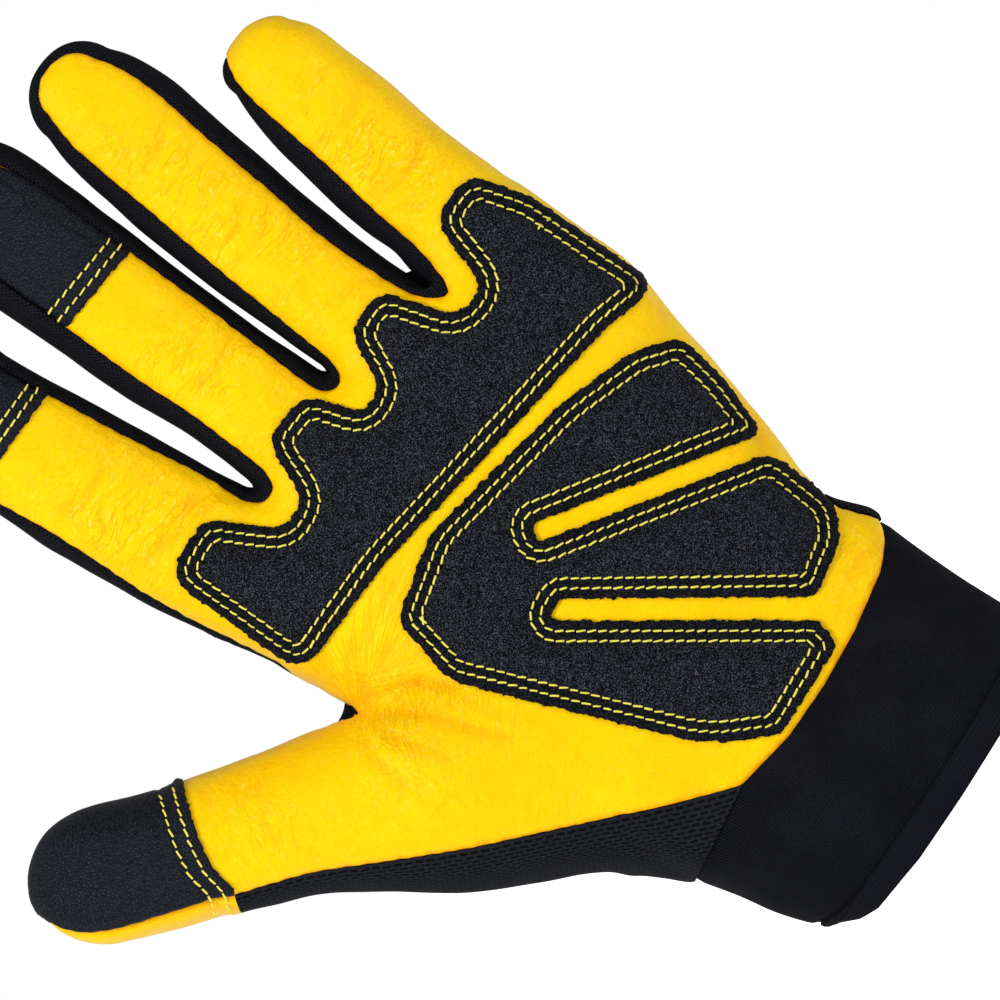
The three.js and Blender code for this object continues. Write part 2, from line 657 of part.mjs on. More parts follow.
function addPiece(name, body, look) {
  const mesh = mainBody(body.simplify(FINENESS)).getMesh();
  const geometry = new THREE.BufferGeometry();
  geometry.setAttribute('position', new THREE.Float32BufferAttribute(mesh.vertProperties, 3));
  geometry.setIndex(Array.from(mesh.triVerts));
  geometry.computeVertexNormals();
  const piece = new THREE.Mesh(geometry, new THREE.MeshStandardMaterial(look));
  piece.name = name;
  glove.add(piece);
}

addPiece('palm_leather', front.intersect(leatherRegion), YELLOW);
addPiece('back_panel', wall.intersect(back).intersect(aboveCuff).add(wristCorner), BLACK_KNIT);
addPiece('fourchette_index_middle', sidePiece(INDEX.tip.across, MIDDLE.tip.across), BLACK_KNIT);
addPiece('fourchette_middle_ring', sidePiece(MIDDLE.tip.across, RING.tip.across), BLACK_KNIT);
addPiece('fourchette_ring_little', sidePiece(RING.tip.across, LITTLE_SIDE_END), BLACK_KNIT);
addPiece('index_side_strip', sidePiece(INDEX_STRIP_LEFT, INDEX.tip.across), BLACK_KNIT);
addPiece('thumb_side_strip', thumbStrip, BLACK_KNIT);
addPiece('thumb_edge_strip', thumbEdge, YELLOW);
addPiece('knuckle_pad', padSkin.intersect(prism(rounded(KNUCKLE_PAD), -FAR, FAR)), BLACK_PAD);
addPiece('heel_pad', padSkin.intersect(prism(rounded(HEEL_PAD), -FAR, FAR)), BLACK_PAD);
addPiece('thumb_cap', capRegion.intersect(beyondThumbEdge()), BLACK_GRAIN);
addPiece('index_cap', capRegion.intersect(beyondFingerEdge(INDEX_CAP_EDGE)), BLACK_GRAIN);
addPiece('middle_cap', capRegion.intersect(beyondFingerEdge(MIDDLE_CAP_EDGE)), BLACK_GRAIN);
addPiece('cuff', form(-CUFF_INSET).subtract(form(-CUFF_INSET - CUFF_WALL, INNER_SHARE))
  .intersect(band(HEM_SEAM, cuffTop(SEAM_GAP))), BLACK_KNIT);
addPiece('cuff_hem', form(HEM_RISE).subtract(form(-CUFF_INSET - CUFF_WALL, INNER_SHARE))
  .intersect(band(RIM, hemTop)), BLACK_KNIT);

export default glove;
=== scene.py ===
"""Left-hand work glove with a leather palm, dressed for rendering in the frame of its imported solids."""
from __future__ import annotations

import sys
import logging
import math
from dataclasses import dataclass, field
from enum import Enum

import bpy
import numpy as np
from mathutils import Matrix, Vector


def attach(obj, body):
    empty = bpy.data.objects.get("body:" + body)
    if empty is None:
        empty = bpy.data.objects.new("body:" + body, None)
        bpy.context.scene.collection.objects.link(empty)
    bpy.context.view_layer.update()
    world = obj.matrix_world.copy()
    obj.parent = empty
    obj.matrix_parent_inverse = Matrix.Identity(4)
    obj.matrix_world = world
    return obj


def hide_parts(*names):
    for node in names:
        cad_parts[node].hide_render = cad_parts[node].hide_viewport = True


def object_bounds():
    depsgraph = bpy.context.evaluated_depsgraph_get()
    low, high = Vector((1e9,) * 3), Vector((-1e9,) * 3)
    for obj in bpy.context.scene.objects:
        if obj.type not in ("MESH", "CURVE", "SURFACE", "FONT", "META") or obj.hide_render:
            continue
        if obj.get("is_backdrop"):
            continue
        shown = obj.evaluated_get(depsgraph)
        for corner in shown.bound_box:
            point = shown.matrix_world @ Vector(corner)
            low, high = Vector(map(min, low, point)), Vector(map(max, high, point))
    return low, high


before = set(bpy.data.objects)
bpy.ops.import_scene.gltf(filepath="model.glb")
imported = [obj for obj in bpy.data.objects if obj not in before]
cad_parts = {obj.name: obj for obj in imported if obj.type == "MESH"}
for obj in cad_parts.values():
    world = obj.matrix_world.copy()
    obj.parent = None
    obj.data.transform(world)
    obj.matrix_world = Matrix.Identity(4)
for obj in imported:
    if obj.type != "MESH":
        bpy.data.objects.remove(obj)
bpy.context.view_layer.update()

LOG = logging.getLogger("glove")
MM = 0.001
GRID_STEP = 0.95
THUMB_AXIS = (-0.76, 0.65)
CURVE_STEPS = 12
TINY = 1e-9
SEED = 7
WHITE = (1.0, 1.0, 1.0, 1.0)

Socket = bpy.types.NodeSocket
Color = tuple[float, float, float, float]
Line = tuple[tuple[float, float], ...]


class Zone(Enum):
    """The side of the back seam that a piece lies on."""

    FRONT = "front"
    BACK = "back"


@dataclass(frozen=True)
class Section:
    """One cross-section of a limb, in millimetres: its place along the limb and its four sides."""

    z: float
    left: float
    right: float
    front: float
    back: float
    seam_left: float | None = None
    seam_right: float | None = None


@dataclass(frozen=True)
class Tip:
    """Rounded end of a limb: its top point, and where along the limb the rounding starts, in millimetres."""

    across: float
    along: float
    deep: float
    start: float


def read_sections(table: str) -> tuple[Section, ...]:
    """Reads sections, one a line: z left right front back seam_left seam_right, - where there is no seam.

    Args:
        table: The rows, columns parted by spaces.

    Returns:
        The sections in order.
    """
    rows = []
    for line in table.strip().splitlines():
        values = [None if word == "-" else float(word) for word in line.split()]
        rows.append(Section(*values))
    return tuple(rows)


def read_points(table: str) -> np.ndarray:
    """Reads rows of numbers, one point a line."""
    return np.array([[float(word) for word in line.split()] for line in table.strip().splitlines()])


def smooth_step(value: np.ndarray | float) -> np.ndarray:
    """Eases a value from 0 to 1, level at both ends."""
    t = np.clip(value, 0.0, 1.0)
    return t * t * (3.0 - 2.0 * t)


def bell(value: np.ndarray, width: float) -> np.ndarray:
    """A smooth hump of height 1 at zero."""
    return np.exp(-((value / width) ** 2))


def hump(distance: np.ndarray, size: tuple[float, float]) -> np.ndarray:
    """Height of a smooth hump, or depth of a groove, at a distance from its middle. Size is height, width."""
    height, width = size
    return height * bell(distance, width)


def catmull(points: np.ndarray, step: float) -> np.ndarray:
    """Runs a smooth line through points.

    Args:
        points: The points, a row each.
        step: The distance between the points returned.

    Returns:
        The points of the line, evenly spaced.
    """
    before, after = 2 * points[0] - points[1], 2 * points[-1] - points[-2]
    p = np.vstack([before, points, after])
    t = np.linspace(0, 1, CURVE_STEPS, endpoint=False)[:, None]
    parts = []
    for a, b, c, d in zip(p[:-3], p[1:-2], p[2:-1], p[3:]):
        square, cube = 2 * a - 5 * b + 4 * c - d, 3 * b - a - 3 * c + d
        parts.append(0.5 * (2 * b + (c - a) * t + square * t ** 2 + cube * t ** 3))
    return respaced(np.vstack([*parts, points[-1:]]), step)


def respaced(line: np.ndarray, step: float) -> np.ndarray:
    """The same line with its points evenly spaced, about step apart."""
    gaps = np.linalg.norm(np.diff(line, axis=0), axis=1)
    along = np.concatenate([[0.0], np.cumsum(gaps)])
    at = np.linspace(0, along[-1], max(2, int(round(along[-1] / step)) + 1))
    return np.stack([np.interp(at, along, line[:, k]) for k in range(line.shape[1])], axis=1)


class Noise:
    """Smooth seeded noise in space, as a sum of waves, for large soft unevenness."""

    def __init__(self, seed: int, size: float, waves: int = 24) -> None:
        """Sets the seed, the size of the lumps in millimetres, and how many waves make them."""
        rng = np.random.default_rng(seed)
        direction = rng.normal(size=(waves, 3))
        direction /= np.linalg.norm(direction, axis=1)[:, None]
        self.waves = direction * (2 * np.pi / (size * rng.uniform(0.7, 1.6, (waves, 1))))
        self.phase = rng.uniform(0, 2 * np.pi, waves)

    def __call__(self, points: np.ndarray) -> np.ndarray:
        """The noise at each point, mostly between -1 and 1."""
        return np.sin(points @ self.waves.T + self.phase).sum(axis=1) / math.sqrt(len(self.phase) / 2) * 0.6


@dataclass
class Limb:
    """A tube through sections with a rounded tip: the body of the hand, a finger or the thumb."""

    name: str
    sections: tuple[Section, ...]
    tip: Tip
    squareness: float
    slanted: bool = False
    root_round: float = 22.0
    columns: dict[str, np.ndarray] = field(default_factory=dict)

    def __post_init__(self) -> None:
        """Turns the sections into smooth columns over the limb's length."""
        rows = np.array([[s.z, s.left, s.right, s.front, s.back] for s in self.sections])
        line = catmull(rows, 0.6)
        for k, key in enumerate(("z", "left", "right", "front", "back")):
            self.columns[key] = line[:, k]

    def local(self, points: np.ndarray) -> tuple[np.ndarray, np.ndarray, np.ndarray]:
        """Splits points into across, along and deep of this limb."""
        x, y, z = points[:, 0], points[:, 1], points[:, 2]
        if not self.slanted:
            return x, z, y
        dx, dz = THUMB_AXIS
        return dz * x - dx * z, dx * x + dz * z, y

    def at(self, key: str, along: np.ndarray) -> np.ndarray:
        """One smooth column read at places along the limb."""
        return np.interp(along, self.columns["z"], self.columns[key])

    def value(self, points: np.ndarray) -> np.ndarray:
        """Rough distance outside the limb, negative inside."""
        across, along, deep = self.local(points)
        first, last = self.sections[0].z, self.tip.start
        s = np.clip(along, first, last)
        left, right, front, back = (self.at(key, s) for key in ("left", "right", "front", "back"))
        over = np.maximum(0.0, (along - last) / (self.tip.along - last))
        bend = smooth_step(np.minimum(over, 1.0))
        centre_across = (left + right) / 2 * (1 - bend) + self.tip.across * bend
        centre_deep = (front + back) / 2 * (1 - bend) + self.tip.deep * bend
        half_across = (right - left) / 2
        half_deep = (back - front) / 2
        n = self.squareness
        wide = np.abs((across - centre_across) / half_across) ** n
        r = (wide + np.abs((deep - centre_deep) / half_deep) ** n) ** (1 / n)
        under = np.maximum(0.0, (first - along) / self.root_round)
        r = np.sqrt(r * r + over * over + under * under)
        return (r - 1.0) * np.minimum(half_across, half_deep)

    def seam(self) -> np.ndarray:
        """Points of the leather's edge round this finger: up the left, over the tip, down the right."""
        up = [(s.seam_left, s.z) for s in self.sections if s.seam_left is not None]
        down = [(s.seam_right, s.z) for s in self.sections if s.seam_right is not None][::-1]
        last = self.sections[-1]
        top = SEAM_TIPS[self.name]
        if last.seam_right is None:
            over = [(self.tip.across - 3.2, top - 0.6), (self.tip.across, top)]
        else:
            centre = (last.seam_left + last.seam_right) / 2
            half = (last.seam_right - last.seam_left) / 2
            over = []
            for angle in (30, 60, 90, 120, 150):
                turn = math.radians(angle)
                shift = (self.tip.across - centre) * math.sin(turn)
                across = centre + shift - half * math.cos(turn)
                over.append((across, last.z + (top - last.z) * math.sin(turn)))
        return np.array(up + over + down)


SEAM_TIPS = {"index": 209.8, "middle": 225.8, "ring": 216.7, "little": 190.2}
BODY = Limb("body", read_sections("""
-30 -32.0 34.1 -23.0 23.0
-4 -33.4 34.1 -23.0 23.0
1.5 -36.0 34.1 -23.0 23.0
5 -37.9 34.1 -23.0 23.0
12 -40.1 34.1 -23.0 22.8
20 -41.8 34.1 -23.0 22.4
34 -45.8 34.6 -22.6 20.9
40 -49.4 34.6 -22.3 20.2
50 -48.6 31.9 -21.6 19.0
63  -47.0 36.2 -20.8 17.8
76 -48.5 40.0 -20.0 16.8
90  -50.6 43.6 -19.0 16.0
105 -52.4 47.6 -17.8 15.2
120 -53.4 47.7 -15.8 14.2
130 -55.2 48.0 -13.4 12.4
"""), Tip(-4.0, 139.5, -0.5, 130.0), 2.5)
INDEX = Limb("index", read_sections("""
118 -53.2 -27.0 -13.2 12.0 -52.8 -
127 -54.8 -27.6 -12.8 11.6 -54.1 -
136 -56.5 -28.2 -12.4 11.2 -55.3 -
150 -58.2 -29.7 -11.8 10.4 -56.2 -31.3
165 -59.4 -31.1 -11.8 9.6 -56.4 -33.3
180 -59.5 -32.4 -12.4 8.4 -57.5 -34.8
193 -58.4 -33.5 -12.8 7.0 -56.9 -35.9
203 -56.0 -35.4 -12.2 5.2 -54.2 -37.6
"""), Tip(-45.8, 212.5, -4.2, 193.0), 2.3)
MIDDLE = Limb("middle", read_sections("""
118 -28.5 -2.6 -13.2 12.0 - -
142 -27.2 -2.5 -12.2 11.0 -23.8 -5.6
156 -26.4 -2.4 -11.6 10.2 -23.0 -4.9
170 -27.0 -1.6 -11.6 9.6 -22.9 -4.1
186 -26.9 -0.8 -12.0 8.6 -22.4 -3.8
201 -26.6 0.0 -12.6 7.4 -22.3 -3.3
212 -25.5 0.4 -12.6 6.0 -21.4 -3.6
219.5 -22.9 -1.4 -11.8 4.2 -19.4 -5.4
"""), Tip(-12.8, 228.5, -4.4, 211.0), 2.3)
RING = Limb("ring", read_sections("""
118 -1.6 23.2 -13.0 12.0 - -
142 -1.0 22.3 -12.0 10.8 0.4 19.0
156 -0.9 23.0 -11.4 10.0 1.7 19.2
170 -0.7 24.7 -11.4 9.4 2.9 20.9
185 0.7 26.3 -11.8 8.4 4.7 22.3
197 2.5 27.6 -12.2 7.2 5.9 23.8
205 4.0 27.2 -12.2 6.0 7.0 23.9
211.5 6.2 25.3 -11.4 4.2 9.0 22.6
"""), Tip(15.8, 218.6, -4.2, 209.5), 2.3)
LITTLE = Limb("little", read_sections("""
112 22.0 47.7 -12.6 11.4 - -
133 22.6 48.4 -11.5 10.2 25.9 -
138 23.2 48.7 -11.4 10.0 26.9 -
143 24.5 48.9 -11.1 9.7 27.6 -
150 24.8 49.3 -10.8 9.2 28.7 -
161 26.2 50.5 -10.8 8.4 30.5 -
171 28.0 51.2 -11.0 7.6 31.8 -
179 30.2 51.7 -11.0 6.4 32.8 -
185 32.8 49.8 -10.4 4.6 34.2 -
"""), Tip(40.4, 190.3, -3.4, 184.5), 2.3)
THUMB = Limb("thumb", read_sections("""
44  -6.0 38.0 -15.0 14.0 9.0 -
54  -5.6 40.0 -19.5 16.0 9.2 -
66  -0.6 41.0 -22.4 15.4 9.8 -
80  1.1 42.0 -23.2 14.4 10.3 -
94  3.0 42.0 -22.4 12.2 11.3 -
107 6.7 40.8 -20.6 9.6 12.9 -
120 9.9 39.4 -19.0 7.2 14.3 -
134 10.6 38.3 -18.4 5.8 14.2 -
148 10.2 37.5 -18.6 5.0 13.9 -
158 10.3 37.7 -18.6 4.0 13.6 -
165 12.1 36.3 -18.0 2.6 14.5 -
169.5 15.2 34.3 -16.4 0.6 16.9 -
"""), Tip(24.3, 173.4, -7.4, 158.0), 2.25, slanted=True)
FINGERS = (INDEX, MIDDLE, RING, LITTLE)

WRIST_EDGE = read_points("""
-22.5 31.2
-10 29.1
2 29
14 30
26 32.2
32.2 35
33.6 37.6
31.2 45
31.6 50.5
""")
HEM_SEAM = read_points("""
-60 4.6
-36.6 3.6
-33 1.7
-30 1.1
-19 0.9
3 0.9
24 2.2
60 3.6
""")
RIM = read_points("""
-60 1.6
-35.8 1.4
-34.4 0.6
-31.7 -2.0
-28 -3.6
-16 -4.7
-1 -4.7
14 -4.2
26 -3.2
32 -1.6
60 -0.2
""")
KNUCKLE_PAD = read_points("""
-52.6 111.9 6
-51.2 143.9 6
-37.9 144.2 5.5
-30.9 130.3 4.5
-24.5 130.6 4.5
-19.0 142.6 5.5
-7.6 141.5 5.5
-4.4 130.1 4
1.2 130.5 4
7.0 141 5.5
16.7 140.9 5.5
20.8 125.7 5.5
28.3 124.7 5.5
33.2 139.6 6
44.6 139.2 6
47.8 126.6 14
47.6 97 4.5
34.7 101.0 30
-26.6 111.0 60
""")
HEEL_PAD = read_points("""
-33.8 102.8 5
-16 106.9 14
18.2 100.1 40
34 94.3 14
41.5 88 4
39.8 77.3 20
35.6 64.8 2.5
-4.2 92.0 1.2
-6.2 88.9 1.2
32 62.3 2.5
32.8 58.4 10
31.6 46 10
26.2 41.6 4.5
14.9 39.3 2.5
-12.8 79.4 1.1
-17.6 79.2 1.1
11.3 36.5 2
9.6 30.8 3
-10.6 30.1 4
-20.3 41 30
-29.3 66.1 80
-37.3 88.1 5
""")
THUMB_CAP_EDGE = read_points("""
10.6 135.8
13 135.8
15.4 136
19.8 138.4
25.6 139.6
32 139.9
60 139.6
""")


@dataclass(frozen=True)
class FrontView:
    """The front view that outlines are drawn in: x and z on an upright plane, seen from a point in front."""

    across: float = -3.6
    up: float = 99.4
    plane: float = -8.0
    distance: float = 1500.0

    def seen(self, points: np.ndarray) -> tuple[np.ndarray, np.ndarray]:
        """Where points of the glove appear in the view."""
        near = self.distance / (self.distance + points[:, 1] - self.plane)
        return self.across + (points[:, 0] - self.across) * near, self.up + (points[:, 2] - self.up) * near

    def behind(self, places: np.ndarray, depth: np.ndarray) -> np.ndarray:
        """Points of the glove at a depth that appear at these places of the view."""
        far = (self.distance + depth - self.plane) / self.distance
        across = self.across + (places[:, 0] - self.across) * far
        return np.column_stack([across, depth, self.up + (places[:, 1] - self.up) * far])


VIEW = FrontView()
FINGERS_FROM = (-62.0, 98.0)
CORNER_POINTS = 9
POINTS_AT_ONCE = 4000
CORNER_SHARE = 0.49


def thumb_point(across: float, along: float) -> tuple[float, float]:
    """Turns a place on the thumb into x and z of the glove."""
    dx, dz = THUMB_AXIS
    return dx * along + dz * across, dz * along - dx * across


def rounded(corners: np.ndarray, step: float = 0.6) -> np.ndarray:
    """A closed outline with each corner rounded by its own radius.

    Args:
        corners: Rows of x, z and radius.
        step: The distance between the points returned.

    Returns:
        The outline, its first point repeated at the end.
    """
    outline = []
    count = len(corners)
    for i, (x, z, radius) in enumerate(corners):
        here = np.array([x, z])
        back = corners[i - 1][:2] - here
        ahead = corners[(i + 1) % count][:2] - here
        room = CORNER_SHARE * min(np.linalg.norm(back), np.linalg.norm(ahead))
        back, ahead = back / np.linalg.norm(back), ahead / np.linalg.norm(ahead)
        half = math.acos(max(-1.0, min(1.0, float(back @ ahead)))) / 2
        cut = min(radius / math.tan(half), room)
        start, end = here + back * cut, here + ahead * cut
        for t in np.linspace(0, 1, CORNER_POINTS):
            outline.append((1 - t) ** 2 * start + 2 * t * (1 - t) * here + t * t * end)
    outline.append(outline[0])
    return respaced(np.array(outline), step)


def leather_outline() -> np.ndarray:
    """Outline of the palm leather in the front view, running past the sides that it wraps."""
    thumb = [thumb_point(s.seam_left, s.z) for s in THUMB.sections if s.z > 40]
    thumb += [thumb_point(20.6, 173.0), thumb_point(23.0, 176.5)]
    thumb_line = catmull(np.array([tuple(WRIST_EDGE[0]), *thumb]), 1.0)
    fingers = np.vstack([
        [(-54.3, 100.3), (-51.9, 98.8), (-52.0, 101.6), (-52.6, 104.8), (-53.7, 108.2), (-53.0, 113.0)],
        INDEX.seam(), [(-30.4, 139.0), (-27.6, 136.2), (-25.0, 137.6)],
        MIDDLE.seam(), [(-5.0, 138.8), (-2.8, 137.0), (-0.8, 138.4)],
        RING.seam(), [(19.8, 133.5), (23.2, 129.1), (25.8, 132.0)],
        LITTLE.seam(),
    ])
    finger_line = catmull(fingers, 1.0)
    outside = np.array([(-112.0, 146.0), (-96.0, 146.0), (-58.0, 104.3)])
    wrap = np.array([(44.0, 196.0), (70.0, 196.0), (70.0, 56.0), (36.0, 52.0)])
    wrist = catmull(WRIST_EDGE[::-1], 1.0)
    return np.vstack([thumb_line, outside, finger_line, wrap, wrist])


def outline_distance(
    outline: np.ndarray, x: np.ndarray, z: np.ndarray,
) -> tuple[np.ndarray, np.ndarray, np.ndarray]:
    """Measures points of the front view against a closed outline.

    Args:
        outline: The outline's points, in order.
        x: Across, a value a point.
        z: Up, a value a point.

    Returns:
        The distance, positive inside; the place along the outline; and the direction to the nearest edge.
    """
    a = outline
    b = np.roll(outline, -1, axis=0)
    lengths = np.linalg.norm(b - a, axis=1)
    keep = lengths > TINY
    a, b, lengths = a[keep], b[keep], lengths[keep]
    start = np.concatenate([[0.0], np.cumsum(lengths)[:-1]])
    distance = np.empty(len(x))
    place = np.empty(len(x))
    toward = np.empty((len(x), 2))
    for low in range(0, len(x), POINTS_AT_ONCE):
        part = slice(low, low + POINTS_AT_ONCE)
        p = np.stack([x[part], z[part]], axis=1)
        ab = b - a
        t = np.clip(((p[:, None] - a) * ab).sum(2) / lengths ** 2, 0, 1)
        near = a + ab * t[..., None]
        gap = ((p[:, None] - near) ** 2).sum(2)
        best = gap.argmin(1)
        rows = np.arange(len(p))
        crossing = ((a[:, 1] > p[:, None, 1]) != (b[:, 1] > p[:, None, 1]))
        rise = np.where(np.abs(b[:, 1] - a[:, 1]) < 1e-12, 1e-12, b[:, 1] - a[:, 1])
        edge_x = a[:, 0] + (p[:, None, 1] - a[:, 1]) / rise * (b[:, 0] - a[:, 0])
        inside = (crossing & (p[:, None, 0] < edge_x)).sum(1) % 2 == 1
        length = np.sqrt(gap[rows, best])
        distance[part] = np.where(inside, length, -length)
        place[part] = start[best] + t[rows, best] * lengths[best]
        toward[part] = (near[rows, best] - p) / np.maximum(length, 1e-6)[:, None]
    return distance, place, toward


BACK_SEAM_DEPTH = 4.6
THUMB_SEAM_SHIFT = 6.4
FINGER_SEAM_LEAN = 0.03


def back_seam(points: np.ndarray) -> np.ndarray:
    """Depth of the seam between the front pieces and the back panel at each point."""
    across, along, _ = THUMB.local(points)
    share = smooth_step((along - 92.0) / 40.0) * smooth_step((48.0 - across) / 8.0)
    lean = FINGER_SEAM_LEAN * np.maximum(0.0, points[:, 2] - 120.0)
    return BACK_SEAM_DEPTH - THUMB_SEAM_SHIFT * share - lean * (1 - share)


def blend(a: np.ndarray, b: np.ndarray, width: np.ndarray | float) -> np.ndarray:
    """Joins two distances with a soft fillet of about that width."""
    h = np.clip(0.5 + 0.5 * (b - a) / width, 0, 1)
    return b * (1 - h) + a * h - width * h * (1 - h)


@dataclass(frozen=True)
class HandForm:
    """The smooth outer form of the filled glove."""

    thumb_fillet: float = 9.0
    finger_fillet: float = 4.0
    least_fillet: float = 0.6
    web_fillet: float = 8.6
    last_gap: float = 22.9
    last_gap_depth: float = 8.0
    finger_roots: float = 141.0
    steepest_move: float = 0.8

    def fillets(self, points: np.ndarray) -> tuple[np.ndarray, np.ndarray]:
        """Widths of the fillets at the thumb and at the fingers: narrow where their sides line up."""
        x, z = points[:, 0], points[:, 2]
        crotch = smooth_step((z - 84.0) / 12.0)
        wrist_side = smooth_step((-38.0 - x) / 6.0) * smooth_step((76.0 - z) / 10.0)
        thumb = self.thumb_fillet * (1 - 0.75 * crotch) * (1 - 0.9 * wrist_side)
        outer = smooth_step((x + 54.0) / 8.0) * smooth_step((49.0 - x) / 8.0)
        outer *= 1 - 0.6 * bell(x - self.last_gap, 5.0)
        behind = self.web_fillet * smooth_step((points[:, 1] - 1.0) / 6.0) * crotch
        return thumb + behind, self.least_fillet + (self.finger_fillet - self.least_fillet) * outer

    def value(self, points: np.ndarray) -> np.ndarray:
        """Rough distance outside the form, negative inside."""
        thumb_fillet, finger_fillet = self.fillets(points)
        last_gap = self.last_gap_depth * bell(points[:, 0] - self.last_gap, 4.0)
        body = np.maximum(BODY.value(points), points[:, 2] - self.finger_roots + last_gap)
        body = blend(body, THUMB.value(points), thumb_fillet)
        total = body
        for finger in FINGERS:
            total = np.minimum(total, blend(body, finger.value(points), finger_fillet))
        return total

    def slope(self, points: np.ndarray, step: float = 0.15) -> np.ndarray:
        """The gradient of value, a row a point."""
        parts = []
        for axis in range(3):
            shift = np.zeros(3)
            shift[axis] = step
            parts.append((self.value(points + shift) - self.value(points - shift)) / (2 * step))
        return np.stack(parts, axis=1)

    def project(self, points: np.ndarray, rounds: int = 3) -> tuple[np.ndarray, np.ndarray]:
        """Moves points onto the form.

        Args:
            points: Points near the form.
            rounds: How many times they are moved.

        Returns:
            The points on the form and the outward normals there.
        """
        p = points.copy()
        for _ in range(rounds):
            g = self.slope(p)
            size = np.maximum((g * g).sum(1), 0.05)
            move = (self.value(p) / size)[:, None] * g
            length = np.linalg.norm(move, axis=1)[:, None]
            p -= move * np.minimum(1.0, self.steepest_move / np.maximum(length, TINY))
        g = self.slope(p, 0.4)
        return p, g / np.maximum(np.linalg.norm(g, axis=1)[:, None], TINY)


FORM = HandForm()


@dataclass(frozen=True)
class Spread:
    """Opens the narrow gaps beside the middle finger while the surface is drawn, and closes them again."""

    room: float = 3.0

    def width(self, z: np.ndarray) -> np.ndarray:
        """How far the neighbours are moved aside at a height."""
        return self.room * smooth_step((z - 138.0) / 9.0)

    def centres(self, z: np.ndarray) -> tuple[np.ndarray, np.ndarray]:
        """The middle of the gap on either side of the middle finger."""
        s = np.clip(z, 118, 219)
        left = (INDEX.at("right", np.clip(z, 118, 203)) + MIDDLE.at("left", s)) / 2
        right = (MIDDLE.at("right", s) + RING.at("left", np.clip(z, 118, 211.5))) / 2
        return left, right

    def close(self, points: np.ndarray) -> np.ndarray:
        """Takes opened-up points back to their true places."""
        out = points.copy()
        x, z = points[:, 0], points[:, 2]
        w = self.width(z)
        left, right = self.centres(z)
        from_right = np.where(x > right, np.maximum(x - w, right), x)
        out[:, 0] = np.where(x < left, np.minimum(x + w, left), from_right)
        return out


GRID_LOW = np.array([-126.0, -30.0, -12.0])
GRID_HIGH = np.array([60.0, 28.0, 234.0])
CUBE_EDGES = [(a, b) for a in range(8) for b in range(a + 1, 8) if bin(a ^ b).count("1") == 1]


def corner_offset(corner: int) -> tuple[int, int, int]:
    """The grid offset of one corner of a cell."""
    return corner & 1, (corner >> 1) & 1, (corner >> 2) & 1


def cell_points(values: np.ndarray) -> tuple[np.ndarray, np.ndarray]:
    """Finds a point of the surface in each cell of the grid that it passes through.

    Args:
        values: The form's value at each grid point.

    Returns:
        The points in grid steps, and the number of each cell's point, -1 where it has none.
    """
    inside = values < 0
    cells = tuple(count - 1 for count in values.shape)
    number = np.zeros(cells, np.int8)
    for corner in range(8):
        i, j, k = corner_offset(corner)
        number += inside[i:i + cells[0], j:j + cells[1], k:k + cells[2]]
    active = np.argwhere((number > 0) & (number < 8))
    ids = np.full(cells, -1, np.int64)
    ids[tuple(active.T)] = np.arange(len(active))
    total = np.zeros((len(active), 3))
    hits = np.zeros(len(active))
    for a, b in CUBE_EDGES:
        oa, ob = np.array(corner_offset(a)), np.array(corner_offset(b))
        va, vb = values[tuple((active + oa).T)], values[tuple((active + ob).T)]
        cross = (va < 0) != (vb < 0)
        t = np.where(cross, va / np.where(cross, va - vb, 1), 0)
        total += np.where(cross[:, None], oa + (ob - oa) * t[:, None], 0)
        hits += cross
    return active + total / hits[:, None], ids


def cell_faces(inside: np.ndarray, ids: np.ndarray) -> np.ndarray:
    """Joins the points of four neighbouring cells wherever a grid edge passes through the surface.

    Args:
        inside: Whether each grid point is inside the form.
        ids: The number of each cell's point.

    Returns:
        The triangles, facing outward.
    """
    faces = []
    for axis in range(3):
        other = [k for k in range(3) if k != axis]
        first = np.take(inside, range(inside.shape[axis] - 1), axis)
        second = np.take(inside, range(1, inside.shape[axis]), axis)
        edges = np.argwhere(first != second)
        ok = np.all([(edges[:, k] > 0) & (edges[:, k] < ids.shape[k]) for k in other], axis=0)
        edges = edges[ok]
        outward = first[tuple(edges.T)]
        ring = []
        for du, dv in ((-1, -1), (0, -1), (0, 0), (-1, 0)):
            cell = edges.copy()
            cell[:, other[0]] += du
            cell[:, other[1]] += dv
            ring.append(ids[tuple(cell.T)])
        quad = np.stack(ring, axis=1)
        flip = outward if axis != 1 else ~outward
        quad = np.where(flip[:, None], quad, quad[:, ::-1])
        faces.append(np.vstack([quad[:, [0, 1, 2]], quad[:, [0, 2, 3]]]))
    return np.vstack(faces)


def draw_surface(step: float) -> tuple[np.ndarray, np.ndarray]:
    """Draws the form's surface as triangles on an even grid.

    Args:
        step: The grid's spacing in millimetres.

    Returns:
        The points and the triangles.
    """
    spread = Spread()
    counts = np.ceil((GRID_HIGH - GRID_LOW) / step).astype(int) + 1
    axes = [GRID_LOW[k] + step * np.arange(counts[k]) for k in range(3)]
    values = np.empty(counts, np.float32)
    xy = np.stack(np.meshgrid(axes[0], axes[1], indexing="ij"), axis=-1).reshape(-1, 2)
    for k, z in enumerate(axes[2]):
        layer = np.column_stack([xy, np.full(len(xy), z)])
        values[:, :, k] = FORM.value(spread.close(layer)).reshape(counts[0], counts[1])
    places, ids = cell_points(values)
    return spread.close(GRID_LOW + step * places), cell_faces(values < 0, ids)


